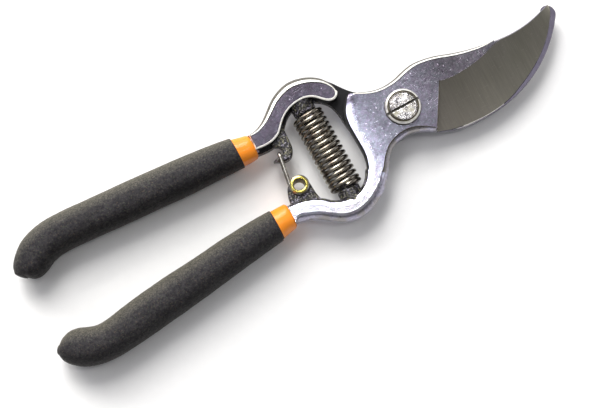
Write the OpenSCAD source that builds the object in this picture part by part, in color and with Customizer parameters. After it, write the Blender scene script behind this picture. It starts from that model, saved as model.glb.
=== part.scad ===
// Bypass pruning shears: two forged arms on a slotted pivot bolt, a coil return
// spring between them, a wire latch on a brass eyelet, and two dipped handles.
// They lie flat: X runs along the tool towards the blade tip, Y towards the
// hook arm's handle, Z up. The pivot axis is the Z axis and the surface that
// the shears rest on is Z = 0. The shears are latched shut.

/* [Forgings] */
// Height of the plane in which the blade slides on the hook
shear_z = 8; // [7.8:0.05:8.2]
// Thickness of each forging at the pivot
plate_t = 4.5; // [4.3:0.05:4.6]
// Gap left between the sliding faces
shear_gap = 0.04; // [0.02:0.01:0.06]
// How far the rounding of the edges reaches into the polished faces, as a part of its full size
edge_round = 1; // [0.5:0.05:1.1]
// Thickness of the blade at its cutting edge
edge_t = 0.35; // [0.2:0.05:0.6]
// Thickness of the latch lug and of the eyelet tab
lug_t = 4.8; // [4.4:0.1:4.8]

/* [Pivot] */
// Diameter of the pivot bolt's shank
bolt_d = 8; // [7:0.1:9]
// Diameter of the bolt's head
head_d = 12.2; // [11:0.1:13]
// Height of the bolt's head
head_h = 2.4; // [1.8:0.1:3]
// Width of the screwdriver slot
slot_w = 0.8; // [0.6:0.1:1.4]
// Depth of the screwdriver slot
slot_d = 1.1; // [0.6:0.1:1.4]
// Running clearance of the blade arm on the shank, on the radius
run_fit = 0.05; // [0.02:0.01:0.08]
// Width of the nut across its flats
nut_af = 12; // [11:0.5:13]

/* [Spring] */
// Diameter of the spring's wire
wire_d = 1.25; // [1:0.05:1.3]
// Outer diameter of the spring
spring_d = 11.4; // [10:0.1:11.6]
// Number of turns of the spring
spring_turns = 15.5; // [12:0.5:16]
// Diameter of the pegs inside the spring's ends
peg_d = 6.2; // [5:0.1:6.4]

/* [Latch] */
// Diameter of the latch wire
latch_d = 1.2; // [1:0.05:1.2]
// Radius of the hole through the brass eyelet
eyelet_r = 1.95; // [1.6:0.05:2.05]
// Radius of the eyelet's rolled rims
rim_r = 3.1; // [2.9:0.05:3.25]

/* [Handles] */
// Thickness of the grips, measured down through the tool
grip_t = 16; // [15.6:0.1:16.4]
// Thickness of the black layer over the orange one
skin_t = 1; // [0.8:0.1:1.2]

/* [Hidden] */

steel = [0.62, 0.60, 0.66];
dark_steel = [0.36, 0.35, 0.36];
black = [0.16, 0.16, 0.17];
brass = [0.86, 0.74, 0.30];
zinc = [0.80, 0.79, 0.72];
orange = [0.96, 0.55, 0.10];

front_z = shear_z + plate_t;      // polished face of the blade arm
back_z = shear_z - plate_t;       // back face of the hook arm
eyelet = [-43.7, -6.4];           // centre of the eyelet
barrel_r = eyelet_r + 0.3;        // outside of the eyelet's barrel
ring_r = barrel_r + 0.65;         // centre line of the latch wire's rings
spring_x = -29.6;                 // the spring lies along Y at this X
seat_hi = 14.7;                   // face of the upper spring boss
seat_lo = -15;                    // face of the lower spring boss
lug_lo = shear_z - lug_t/2;
lug_hi = shear_z + lug_t/2;
eps = 0.01;

// ---------- smooth outlines ----------
// A corner point of an outline is [x, y, w], and one with a fourth value is a
// sharp corner. w is how far in the edge's rounding reaches there.
function at(P, i) = P[(i + 2*len(P)) % len(P)];
function v3(p) = [p[0], p[1], p[2]];
function gap(a, b) = max(norm([b[0] - a[0], b[1] - a[1]]), 0.001);
function run(a, b) = (v3(b) - v3(a))/gap(a, b);
function vel(P, i) = let(a = at(P, i - 1), b = at(P, i), c = at(P, i + 1), h = gap(a, b), g = gap(b, c))
    (run(a, b)*g + run(b, c)*h)/(g + h);
function turn(a, b) = acos(max(-1, min(1, (a[0]*b[0] + a[1]*b[1])/max(norm([a[0], a[1]])*norm([b[0], b[1]]), 1e-6))));
function hermite(a, b, m, n, t) = (2*t*t*t - 3*t*t + 1)*a + (t*t*t - 2*t*t + t)*m + (3*t*t - 2*t*t*t)*b + (t*t*t - t*t)*n;
function smooth(P) = [for (i = [0:len(P) - 1])
    let(a = at(P, i), b = at(P, i + 1), h = gap(a, b), c = run(a, b),
        m = len(a) > 3 ? c : vel(P, i), n = len(b) > 3 ? c : vel(P, i + 1),
        k = max(1, min(4, ceil((turn(m, c) + turn(n, c))/11))))
    for (j = [0:k - 1]) hermite(v3(a), v3(b), m*h, n*h, j/k)];
// Smooth run through rows of numbers that isn't closed
function row_vel(P, i) = i == 0 ? P[1] - P[0] : i == len(P) - 1 ? P[i] - P[i - 1] : (P[i + 1] - P[i - 1])/2;
function smooth_rows(P, k) = concat([for (i = [0:len(P) - 2], j = [0:k - 1])
    hermite(P[i], P[i + 1], row_vel(P, i), row_vel(P, i + 1), j/k)], [P[len(P) - 1]]);
function unit(v) = v/max(norm(v), 1e-9);
// Inward normal of an outline that runs counter-clockwise
function inward(Q, i) = let(a = at(Q, i - 1), b = at(Q, i + 1), t = unit([b[0] - a[0], b[1] - a[1]])) [-t[1], t[0]];

// A plate on a smooth outline, in levels [z, s] from the bottom up: at each one
// the outline is drawn in by s times its own w.
module plate(P, levels) {
    Q = smooth(P);
    n = len(Q);
    m = len(levels);
    ring = [for (i = [0:n - 1]) inward(Q, i)];
    points = [for (l = levels, i = [0:n - 1])
        [Q[i][0] + ring[i][0]*Q[i][2]*l[1], Q[i][1] + ring[i][1]*Q[i][2]*l[1], l[0]]];
    walls = [for (k = [0:m - 2], i = [0:n - 1]) let(j = (i + 1) % n)
        each [[k*n + i, (k + 1)*n + i, (k + 1)*n + j], [k*n + i, (k + 1)*n + j, k*n + j]]];
    polyhedron(points, concat([[for (i = [0:n - 1]) i]], walls, [[for (i = [n - 1:-1:0]) (m - 1)*n + i]]));
}
e = edge_round;
function face_up(z0, z1) = [[z0, 0], [z1 - 2.6, 0.03*e], [z1 - 1.4, 0.22*e], [z1 - 0.5, 0.6*e], [z1, e]];
function face_down(z0, z1) = [[z0, e], [z0 + 0.5, 0.6*e], [z0 + 1.4, 0.22*e], [z0 + 2.6, 0.03*e], [z1, 0.02*e]];
function both_faces(z0, z1) = [[z0, 1], [z0 + 0.4, 0.35], [z0 + 1.1, 0], [z1 - 1.1, 0], [z1 - 0.4, 0.35], [z1, 1]];

function middle(r) = [for (i = [0:len(r) - 1]) 1]*r/len(r);
// A closed tube or bar: rings of points in order, all with the same number
module skin(rings) {
    n = len(rings[0]);
    m = len(rings);
    points = concat([for (r = rings) each r], [middle(rings[0]), middle(rings[m - 1])]);
    walls = [for (k = [0:m - 2], i = [0:n - 1]) let(j = (i + 1) % n)
        each [[k*n + i, (k + 1)*n + i, (k + 1)*n + j], [k*n + i, (k + 1)*n + j, k*n + j]]];
    caps = [for (i = [0:n - 1]) let(j = (i + 1) % n) each [[n*m, i, j], [n*m + 1, (m - 1)*n + j, (m - 1)*n + i]]];
    polyhedron(points, concat(walls, caps));
}
// A shell, open at its first end: rings outside, then rings of its cavity
module shell(outer, inner) {
    n = len(outer[0]);
    a = len(outer);
    b = len(inner);
    o = a*n;
    points = concat([for (r = outer) each r], [for (r = inner) each r], [middle(outer[a - 1]), middle(inner[b - 1])]);
    out_walls = [for (k = [0:a - 2], i = [0:n - 1]) let(j = (i + 1) % n)
        each [[k*n + i, (k + 1)*n + i, (k + 1)*n + j], [k*n + i, (k + 1)*n + j, k*n + j]]];
    in_walls = [for (k = [0:b - 2], i = [0:n - 1]) let(j = (i + 1) % n)
        each [[o + k*n + i, o + (k + 1)*n + j, o + (k + 1)*n + i], [o + k*n + i, o + k*n + j, o + (k + 1)*n + j]]];
    mouth = [for (i = [0:n - 1]) let(j = (i + 1) % n) each [[i, j, o + j], [i, o + j, o + i]]];
    ends = [for (i = [0:n - 1]) let(j = (i + 1) % n) each [[o + b*n, (a - 1)*n + j, (a - 1)*n + i],
        [o + b*n + 1, o + (b - 1)*n + i, o + (b - 1)*n + j]]];
    polyhedron(points, concat(out_walls, in_walls, mouth, ends));
}

// ---------- outlines, counter-clockwise from above ----------
// Blade arm, front half: heel, grind line, spine, pivot body, loop, tang stub
blade_front = [
    [6.5, -12.6, 0.9, 1], [15.5, 2, 0, 1], [19.5, 1.3, 0], [24, 1.3, 0], [29, 1.8, 0], [34, 2.9, 0], [41, 5.3, 0, 1],
    [36, 6.1, 0.9], [30, 7.2, 1.2], [24, 8.9, 1.3], [18.5, 10.8, 1.3], [14, 11.8, 1.3], [10, 12.1, 1.4], [6, 11.4, 1.4],
    [2, 10.3, 1.3], [-2, 9.9, 1.3], [-6, 10.4, 1.3], [-9.5, 11.7, 1.3], [-12.6, 12.9, 1.3], [-14.6, 12.6, 1.4],
    [-17, 10.4, 1.5], [-18.7, 7.6, 1.2], [-19.4, 4.5, 0.6], [-19.5, 1, 0.3], [-19.4, -4, 0.3], [-19.6, -8, 0.6],
    [-20.6, -11.2, 1.4], [-22.4, -14.2, 1.7], [-25, -16.6, 1.7], [-28.5, -17.9, 1.7], [-32, -17.7, 1.7],
    [-35.4, -16.5, 1.7], [-38.6, -13.9, 1.6], [-42.5, -12, 1.6], [-46.5, -10.9, 1.5], [-50.8, -10.4, 1.5, 1],
    [-50.8, -17.4, 1, 1], [-46.5, -18.3, 1.2], [-43, -19.9, 1.5], [-39.8, -22.3, 1.9], [-36.4, -24.5, 2.1],
    [-32.6, -25.7, 2.1], [-28.4, -25.7, 2.1], [-24.4, -24.6, 2.1], [-20.6, -22.5, 2.1], [-17.4, -19.9, 2.1],
    [-14.7, -16.5, 2], [-12, -12.9, 1.8], [-9.2, -10.3, 1.7], [-5.8, -9.1, 1.7], [-2, -8.9, 1.7], [1.6, -9.9, 1.6]];
// Blade arm, back half: it starts behind the sweep of the hook arm's plate
blade_back = [
    [-19.6, -11.6, 0.8], [-20.6, -11.9, 1.3], [-22.4, -14.2, 1.7], [-25, -16.6, 1.7], [-28.5, -17.9, 1.7], [-32, -17.7, 1.7],
    [-35.4, -16.5, 1.7], [-38.6, -13.9, 1.6], [-42.5, -12, 1.6], [-46.5, -10.9, 1.5], [-50.8, -10.4, 1.5, 1],
    [-50.8, -17.4, 1, 1], [-46.5, -18.3, 1.2], [-43, -19.9, 1.5], [-39.8, -22.3, 1.9], [-36.4, -24.5, 2.1],
    [-32.6, -25.7, 2.1], [-28.4, -25.7, 2.1], [-24.4, -24.6, 2.1], [-20.6, -22.5, 2.1], [-17.4, -19.9, 2],
    [-15.6, -17.6, 1.6], [-15.2, -15.8, 1], [-16.2, -14.3, 0.8], [-18, -12.7, 0.7]];
// Hook arm, back half: plate, hook, neck, tang stub
hook_back = [
    [-19.4, 4.2, 0.8], [-17.8, -0.5, 0.9], [-14.8, -5, 0.9], [-11, -7.8, 0.9], [-6.5, -8.7, 0.9], [-1.5, -8.6, 0.9],
    [3, -9.8, 0.9], [8, -12.8, 1], [12.5, -14.7, 1.2], [18, -15.7, 1.4], [24, -16, 1.5], [30, -15.7, 1.5], [36, -14.6, 1.5],
    [42, -12.7, 1.5], [47.4, -10.2, 1.5], [52.8, -6.7, 1.5], [57.7, -2.4, 1.5], [61.5, 1.8, 1.5], [63.5, 5, 1.4],
    [63.1, 7.1, 1.2], [61.5, 8.4, 1], [59.6, 8.2, 0.8], [58.4, 6.4, 0.7], [56.2, 3.6, 0.7], [52.2, 0.3, 0.7],
    [47, -2.7, 0.7], [41, -4.8, 0.7], [35, -6, 0.7], [29, -6.2, 0.7], [23.5, -5.3, 0.7], [18.6, -3, 0.7],
    [15, 0.6, 0.7], [12.2, 4.8, 0.8], [8.6, 8, 0.9], [4, 9.3, 0.9], [-1, 8.9, 0.9], [-5.5, 9.8, 0.9],
    [-9.3, 11.8, 0.9], [-12.4, 14.3, 1], [-14.6, 17, 1.2], [-16.6, 19.9, 1.8], [-19.4, 22.8, 2.1], [-22.8, 25, 2.2],
    [-26.6, 26.4, 2.3], [-30.6, 26.8, 2.3], [-34.4, 25.9, 2.2], [-38, 24.1, 2], [-41.4, 21.4, 1.8], [-44.6, 18.9, 1.5],
    [-47.8, 17.4, 1.2], [-50.8, 16.9, 1, 1], [-50.8, 9.9, 1.5, 1], [-47.2, 9.5, 2], [-43.6, 9.9, 2], [-40.4, 11.6, 1.6],
    [-38.6, 13.6, 1.2], [-36.6, 15.8, 1], [-34, 17.5, 1], [-30.8, 18.3, 1], [-27.6, 18.1, 1], [-24.8, 16.9, 1],
    [-22.4, 15.2, 0.9], [-20.7, 12.8, 0.8], [-19.9, 10.2, 0.8], [-19.6, 7.2, 0.8]];
// Hook arm, front half: the raised neck, which ends round before the pivot body
hook_front = [
    [-15.8, 16.9, 0.8], [-16.8, 19.8, 1.6], [-19.4, 22.8, 2.1], [-22.8, 25, 2.2],
    [-26.6, 26.4, 2.3], [-30.6, 26.8, 2.3], [-34.4, 25.9, 2.2], [-38, 24.1, 2], [-41.4, 21.4, 1.8], [-44.6, 18.9, 1.5],
    [-47.8, 17.4, 1.2], [-50.8, 16.9, 1, 1], [-50.8, 9.9, 1.5, 1], [-47.2, 9.5, 2], [-43.6, 9.9, 2], [-40.4, 11.6, 1.6],
    [-38.6, 13.6, 1.2], [-36.6, 15.8, 1], [-34, 17.5, 1], [-30.8, 18.3, 1], [-27.6, 18.1, 1], [-24.8, 16.9, 0.9],
    [-22.6, 14.8, 0.6], [-20.9, 13.2, 0.6], [-19, 12.7, 0.6], [-17.1, 13.3, 0.6], [-16, 14.8, 0.6]];
// Latch lug under the hook arm's neck, with the notch that the wire sits in
lug = [
    [-38.6, 15, 0.3, 1], [-41.5, 13.5, 0.3, 1], [-45.4, 11.2, 0.3, 1], [-44.6, 9.3, 0.3], [-43.5, 8.7, 0.3], [-42.9, 7.6, 0.3], [-43.1, 6.3, 0.3],
    [-44, 5.68, 0.2], [-45.6, 5.52, 0.2], [-47.4, 5.05, 0.2, 1], [-46.1, 4.2, 0.4], [-44.6, 3.35, 0.5], [-43, 3.1, 0.5],
    [-41.5, 3.4, 0.5], [-40.3, 4.5, 0.5], [-39.5, 6.2, 0.5], [-39.2, 8.6, 0.5], [-39.1, 11, 0.4]];
// Eyelet tab on the blade arm
tab = [
    [-41.2, -4.1, 0.4], [-43.7, -3.1, 0.4], [-46.1, -4, 0.4], [-47.6, -5.3, 0.5], [-48.5, -7, 0.5], [-49.1, -9.2, 0.5],
    [-49.6, -12.6, 0.4, 1], [-38, -15.4, 0.4, 1], [-39.4, -13.4, 0.5], [-39.9, -11, 0.5], [-40, -8.5, 0.5], [-40.3, -6, 0.5]];

// Blade behind the grind line: from a point on the line or spine to the cutting
// edge, as [x, y, x, y, thickness at the first, r]. From 1 up, r is how far the
// section runs on inside the body; under 1 it is the rounding of the spine.
grind = [
    [14.9, 2.3, 6.3, -12.1, 4.5, 1.2], [15.6, 1.95, 6.8, -12.75, 4.5, 1.2], [17.4, 1.6, 12.4, -14.5, 4.5, 1.2], [20.5, 1.25, 18.4, -15.4, 4.5, 1.2],
    [24.5, 1.35, 24.4, -15.7, 4.5, 1.2], [29, 1.8, 30, -15.3, 4.5, 1.2], [33.4, 2.75, 35, -14.2, 4.5, 1.2],
    [37.3, 4, 39.6, -12.4, 4.5, 1], [41, 5.35, 43.7, -10.6, 4.4, 0.8], [45.4, 5.2, 47.8, -8.3, 3.8, 0.7],
    [49.4, 5.4, 51.8, -5.7, 3.3, 0.6], [53, 5.9, 55.3, -2.7, 2.8, 0.5], [56.2, 6.6, 58.4, 0.6, 2.3, 0.4],
    [58.7, 7.3, 60.7, 3.6, 1.9, 0.35], [60.6, 7.9, 62.1, 5.8, 1.5, 0.3], [61.9, 8.2, 62.6, 7.4, 1.1, 0.2]];
function grind_ring(s) = let(p = [s[0], s[1]], b = [s[2], s[3]], u = unit(p - b), r = s[5], a = r < 1 ? p - u*r : p, c = r < 1 ? p : p + u*r,
    z0 = shear_z + shear_gap, za = shear_z + s[4] - (r < 1 ? 0 : 0.03), zb = z0 + edge_t, mid = (a + b)/2, drop = r < 1 ? 1.3*r : 0)
    [[c[0], c[1], za - drop], [a[0], a[1], za], [mid[0], mid[1], (za + zb)/2 - 0.2],
     [b[0], b[1], zb], [b[0], b[1], z0], [c[0], c[1], z0]];

// ---------- handles ----------
// Rows of a handle: outer edge x, y; inner edge x, y; half the thickness
function shrink(s, d) = let(o = [s[0], s[1]], i = [s[2], s[3]], u = unit(o - i))
    [s[0] - u[0]*d, s[1] - u[1]*d, s[2] + u[0]*d, s[3] + u[1]*d, s[4] - d];
function oval(s, n, p, flip) = let(c = [(s[0] + s[2])/2, (s[1] + s[3])/2], h = [(s[0] - s[2])/2, (s[1] - s[3])/2])
    [for (i = [0:n - 1]) let(t = 360*i/n, x = cos(t), y = sin(t),
        X = sign(x)*pow(abs(x), 2/p), Y = sign(y)*pow(abs(y), 2/p))
        [c[0] + h[0]*X, c[1] + h[1]*X, shear_z + flip*s[4]*Y]];
g = grip_t/2;
upper_rows = [
    [-56.9, 19.5, -56.8, 8.4, 6.3], [-62, 20.3, -62, 8.5, 6.9], [-68.5, 21.1, -68.5, 8.7, g - 0.6], [-77, 21.9, -76.8, 8.9, g - 0.2],
    [-88, 22.8, -87.5, 9.6, g], [-100, 23.6, -99, 10.3, g], [-111, 24.3, -110, 11.1, g], [-119.5, 24.8, -118.5, 11.7, g],
    [-126, 24.7, -125, 11.7, g], [-131.2, 23.7, -128.6, 10.9, g - 0.1], [-135.6, 21.9, -131.4, 9.5, g - 0.4],
    [-139.2, 19, -134.4, 8.5, g - 1], [-141.6, 16, -137, 8.7, g - 2.2], [-142.4, 13.6, -139, 10.2, g - 4]];
lower_rows = [
    [-57.2, -20.1, -56.9, -9, 6.3], [-62.5, -20.8, -62.5, -9, 6.9], [-69, -21.6, -69.4, -9.4, g - 0.6], [-76.6, -22.7, -77.2, -10, g - 0.2],
    [-86, -24, -87, -11, g], [-97, -25.5, -98.4, -11.9, g], [-107, -26.6, -108.6, -13, g], [-114.5, -27.5, -116.4, -14.2, g],
    [-120.6, -28, -121.6, -15.1, g], [-126, -28.1, -125.4, -15.3, g], [-131, -27.5, -128.6, -14.5, g - 0.1],
    [-135.4, -26.1, -131.6, -13.2, g - 0.4], [-139, -23.6, -134.8, -12.7, g - 1], [-141.3, -20.8, -137.8, -13.5, g - 2.2],
    [-142, -18, -140, -15.2, g - 4]];
collar_upper = [[-50.95, 17.2, -50.95, 9.4, 4.9], [-51.6, 17.7, -51.6, 8.9, 5.3], [-53.4, 18.1, -53.4, 8.7, 5.6], [-56.7, 18.9, -56.7, 8.8, 5.9]];
collar_lower = [[-50.95, -18, -50.95, -9.9, 4.9], [-51.6, -18.5, -51.6, -9.4, 5.3], [-53.4, -18.8, -53.4, -9.3, 5.6], [-56.7, -19.6, -56.7, -9.4, 5.9]];
// The tang: half-width and half-thickness, on the handle's own centre line
function tang_row(s, w, t) = let(c = [(s[0] + s[2])/2, (s[1] + s[3])/2], u = unit([s[0] - s[2], s[1] - s[3]]))
    [c[0] + u[0]*w, c[1] + u[1]*w, c[0] - u[0]*w, c[1] - u[1]*w, t];
function tang_rows(rows, stub, d) = [for (i = [0:8]) let(k = i/8) i == 0 ? tang_row(stub, 3.1 + d, 4.1 + d) : tang_row(rows[i], 3.4 - 0.8*k + d, 4.3 - 0.8*k + d)];
sides = 20;
function held(s) = [s[0], s[1], s[2], s[3], min(s[4], g)];
function grip_rings(rows, d, flip) = [for (s = smooth_rows(rows, 2)) oval(shrink(held(s), d), sides, 2.25, flip)];
function first(P, n) = [for (i = [0:n - 1]) P[i]];
function from(P, k) = [for (i = [k:len(P) - 1]) P[i]];
upper_stub = [-50, 16.4, -50, 10.4, 4];
lower_stub = [-50, -17, -50, -11, 4];
function sleeve_rows(rows, collar) = concat(collar, [for (s = from(rows, 1)) shrink(s, skin_t)]);

// ---------- the pieces ----------
module seat(y0, y1, yp, dir) {
    // spring boss and its peg, lying along Y
    translate([spring_x, y0, shear_z]) rotate([-90*dir, 0, 0]) cylinder(h = abs(y1 - y0), r1 = 4, r2 = 4.4, $fn = 28);
    translate([spring_x, yp, shear_z]) rotate([-90*dir, 0, 0]) cylinder(h = abs(y0 - yp) + 0.5, r1 = peg_d/2 - 0.6, r2 = peg_d/2, $fn = 24);
}

module blade_forging() resize([0, 0, 0]) union() {
    plate(blade_front, face_up(shear_z + shear_gap, front_z));
    plate(blade_back, face_down(back_z, shear_z + 0.5));
    skin([for (s = grind) grind_ring(s)]);
    plate(tab, both_faces(lug_lo, lug_hi));
    seat(seat_lo, -18.6, -11.4, -1);
    skin([for (s = smooth_rows(tang_rows(lower_rows, lower_stub, 0), 1)) oval(s, 12, 3.2, 1)]);
}
module blade_arm() color(steel) difference() {
    blade_forging();
    translate([0, 0, 0]) cylinder(r = bolt_d/2 + run_fit, h = 20, $fn = 64);
    translate([eyelet[0], eyelet[1], lug_lo - 1]) cylinder(r = barrel_r + 0.02, h = lug_t + 2, $fn = 48);
}

module hook_forging() resize([0, 0, 0]) union() {
    plate(hook_back, face_down(back_z, shear_z - shear_gap));
    plate(hook_front, face_up(shear_z - 0.5, front_z));
    plate(lug, both_faces(lug_lo, lug_hi));
    seat(seat_hi, 18.9, 11.1, 1);
    skin([for (s = smooth_rows(tang_rows(upper_rows, upper_stub, 0), 1)) oval(s, 12, 3.2, -1)]);
}
module hook_arm() color(dark_steel) difference() {
    hook_forging();
    cylinder(r = bolt_d/2 + 0.02, h = 20, $fn = 64);
}

module pivot_bolt() color(zinc) difference() {
    rotate_extrude($fn = 72) polygon([[0, 0], [bolt_d/2 - 0.5, 0], [bolt_d/2, 0.5], [bolt_d/2, front_z + 0.05],
        [head_d/2, front_z + 0.05], [head_d/2, front_z + head_h - 0.9], [head_d/2 - 0.9, front_z + head_h - 0.1],
        [head_d/2 - 1.5, front_z + head_h], [0, front_z + head_h]]);
    translate([-head_d, -slot_w/2, front_z + head_h - slot_d]) cube([2*head_d, slot_w, slot_d + 1]);
}
module pivot_washer() color(zinc) translate([0, 0, back_z - 0.62]) difference() {
    cylinder(r = 6.6, h = 0.6, $fn = 64);
    translate([0, 0, -1]) cylinder(r = bolt_d/2 + 0.1, h = 3, $fn = 64);
}
module pivot_nut() color(zinc) difference() {
    intersection() {
        cylinder(r = nut_af/2/cos(30), h = back_z - 0.64, $fn = 6);
        rotate_extrude($fn = 72) polygon([[0, 0], [nut_af/2 - 0.1, 0], [nut_af/2/cos(30), 0.5], [nut_af/2/cos(30), back_z - 0.64], [0, back_z - 0.64]]);
    }
    translate([0, 0, -1]) cylinder(r = bolt_d/2 + 0.02, h = 8, $fn = 64);
}

// Height of the helix along its axis: one closed turn at each end, an even pitch between
spring_lo = seat_lo + 0.1 + wire_d/2;
spring_hi = seat_hi - 0.1 - wire_d/2;
dead = wire_d*1.04;
pitch = (spring_hi - spring_lo - 2*dead)/(spring_turns - 2);
function coil_y(u) = u < 1 ? spring_lo + dead*u
    : u > spring_turns - 1 ? spring_hi - dead*(spring_turns - u)
    : spring_lo + dead + pitch*(u - 1);
module return_spring() color(dark_steel) {
    steps = 15;
    r = (spring_d - wire_d)/2;
    skin([for (k = [0:spring_turns*steps]) let(u = k/steps, t = 360*u, y = coil_y(u), s = atan((k == 0 ? dead : pitch)/(2*PI*r)),
        p = [spring_x + r*sin(t), y, shear_z + r*cos(t)], out = [sin(t), 0, cos(t)],
        along = [cos(t)*cos(s), sin(s), -sin(t)*cos(s)], side = cross(along, out))
        [for (i = [0:7]) p + wire_d/2*(out*cos(45*i) + side*sin(45*i))]]);
}

// Latch wire: front ring, front leg, bar, back leg, back ring, as points on its centre line
bar = [-44.5, 6.4];
leg_z = lug_t/2 + 0.1 + latch_d/2;
reach = norm(bar - eyelet);
bar_a = atan2(bar[1] - eyelet[1], bar[0] - eyelet[0]);
touch_a = bar_a + acos(ring_r/reach);
touch = eyelet + ring_r*[cos(touch_a), sin(touch_a)];
function ring_at(a, z) = [eyelet[0] + ring_r*cos(a), eyelet[1] + ring_r*sin(a), shear_z + z];
function mixed(a, b, t) = a + (b - a)*t;
bend = 1.1;
front_run = concat([for (a = [300:-15:15]) ring_at(touch_a + a, leg_z)], [for (t = [0, 0.25, 0.5, 0.75]) let(p = mixed(touch, bar, t)) [p[0], p[1], shear_z + leg_z]]);
leg_u = unit(bar - touch);
corner = [for (a = [0:22.5:90]) let(p = bar - leg_u*bend*(1 - sin(a))) [p[0], p[1], shear_z + leg_z - bend*(1 - cos(a))]];
half_wire = concat(front_run, corner);
wire_path = concat(half_wire, [for (i = [len(half_wire) - 1:-1:0]) let(p = half_wire[i]) [p[0], p[1], 2*shear_z - p[2]]]);
function flow(P, i) = unit(P[min(i + 1, len(P) - 1)] - P[max(i - 1, 0)]);
// frame that never twists here: every stretch lies in a plane across or along Z
function wire_ring(P, i, r, n) = let(t = flow(P, i), s = unit(cross(t, [leg_u[1], -leg_u[0], 0] + [0, 0, 0.001])),
    q = abs(t[2]) > 0.02 ? [leg_u[1], -leg_u[0], 0] : unit(cross(t, [0, 0, P[i][2] > shear_z ? 1 : -1])), w = cross(t, q))
    [for (k = [0:n - 1]) P[i] + r*(q*cos(360*k/n) + w*sin(360*k/n))];
module latch_wire() color(dark_steel) skin([for (i = [0:len(wire_path) - 1]) wire_ring(wire_path, i, latch_d/2, 10)]);

module latch_eyelet() color(brass) translate([eyelet[0], eyelet[1], shear_z]) {
    h = leg_z + latch_d/2 + 0.1;
    rotate_extrude($fn = 72) polygon([[eyelet_r, -h - 0.35], [eyelet_r + 0.25, -h - 0.6], [rim_r - 0.3, -h - 0.5], [rim_r, -h - 0.2], [rim_r, -h], [barrel_r, -h],
        [barrel_r, h], [rim_r, h], [rim_r, h + 0.2], [rim_r - 0.3, h + 0.5], [eyelet_r + 0.25, h + 0.6], [eyelet_r, h + 0.35]]);
}

// Rows 1 to the last but one: the handle's far end is solid from there on
function core(rows) = [for (i = [1:len(rows) - 2]) rows[i]];
module sleeve(rows, collar, stub, flip) color(orange)
    shell([for (s = concat(smooth_rows(collar, 2), [for (r = core(rows)) shrink(r, skin_t)])) oval(s, sides, 2.25, flip)],
          [for (s = smooth_rows(concat([tang_row(collar[0], 3.3, 4.3)], from(tang_rows(rows, stub, 0.08), 1)), 1)) oval(s, sides, 3.2, flip)]);
module grip(rows, collar, flip) color(black)
    shell(grip_rings(rows, 0, flip),
          [for (s = concat([shrink(collar[3], -0.04)], [for (r = core(rows)) shrink(r, skin_t - 0.04)],
              [shrink(mixed(rows[len(rows) - 2], rows[len(rows) - 1], 0.03), skin_t - 0.04)])) oval(s, sides, 2.25, flip)]);

module upper_sleeve() sleeve(upper_rows, collar_upper, upper_stub, -1);
module upper_grip() grip(upper_rows, collar_upper, -1);
module lower_sleeve() sleeve(lower_rows, collar_lower, lower_stub, 1);
module lower_grip() grip(lower_rows, collar_lower, 1);

blade_arm();
hook_arm();
pivot_bolt();
pivot_washer();
pivot_nut();
return_spring();
latch_wire();
latch_eyelet();
upper_sleeve();
upper_grip();
lower_sleeve();
lower_grip();
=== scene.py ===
import math

import bmesh
import bpy
import numpy as np
from mathutils import Matrix, Vector, noise


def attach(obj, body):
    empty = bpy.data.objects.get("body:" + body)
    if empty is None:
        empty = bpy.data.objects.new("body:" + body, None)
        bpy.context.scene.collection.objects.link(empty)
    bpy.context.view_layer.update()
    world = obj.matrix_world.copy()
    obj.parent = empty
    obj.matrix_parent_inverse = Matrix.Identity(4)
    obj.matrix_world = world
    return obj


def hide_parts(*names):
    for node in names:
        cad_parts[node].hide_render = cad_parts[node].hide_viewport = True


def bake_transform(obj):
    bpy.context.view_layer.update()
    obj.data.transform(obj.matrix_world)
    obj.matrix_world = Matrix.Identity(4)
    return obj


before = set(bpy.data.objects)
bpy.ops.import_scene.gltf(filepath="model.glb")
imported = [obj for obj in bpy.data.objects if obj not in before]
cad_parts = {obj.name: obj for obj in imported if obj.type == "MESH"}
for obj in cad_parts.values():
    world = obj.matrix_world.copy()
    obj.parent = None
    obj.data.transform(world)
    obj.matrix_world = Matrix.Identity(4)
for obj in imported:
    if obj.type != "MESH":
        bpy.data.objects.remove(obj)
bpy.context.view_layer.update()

MM = 0.001
SHEAR = 8.0  # height of the sliding plane, mm
TOP = 12.5
BACK = 3.5

# ---------------------------------------------------------------- camera
AZ, EL = math.radians(-28.7), math.radians(81.0)
RIGHT = Vector((math.cos(AZ), math.sin(AZ), 0))
AHEAD = Vector((-math.sin(AZ) * math.cos(EL), math.cos(AZ) * math.cos(EL), -math.sin(EL)))
UP = RIGHT.cross(AHEAD)
FLAT_UP = Vector((-math.sin(AZ), math.cos(AZ), 0))
cam_data = bpy.data.cameras.new("camera")
cam = bpy.data.objects.new("camera", cam_data)
bpy.context.scene.collection.objects.link(cam)
cam.matrix_world = Matrix.Translation((-0.0914739, -0.0941636, 0.600613)) @ Matrix((RIGHT, UP, -AHEAD)).transposed().to_4x4()
cam_data.sensor_width = 36
cam_data.sensor_fit = "HORIZONTAL"
cam_data.lens = 105.88
cam_data.clip_start = 0.01
cam_data.clip_end = 20
bpy.context.scene.camera = cam

# ---------------------------------------------------------------- mesh helpers


def as_array(p):
    return np.array([v for v in p if v != "C"], float)


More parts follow.
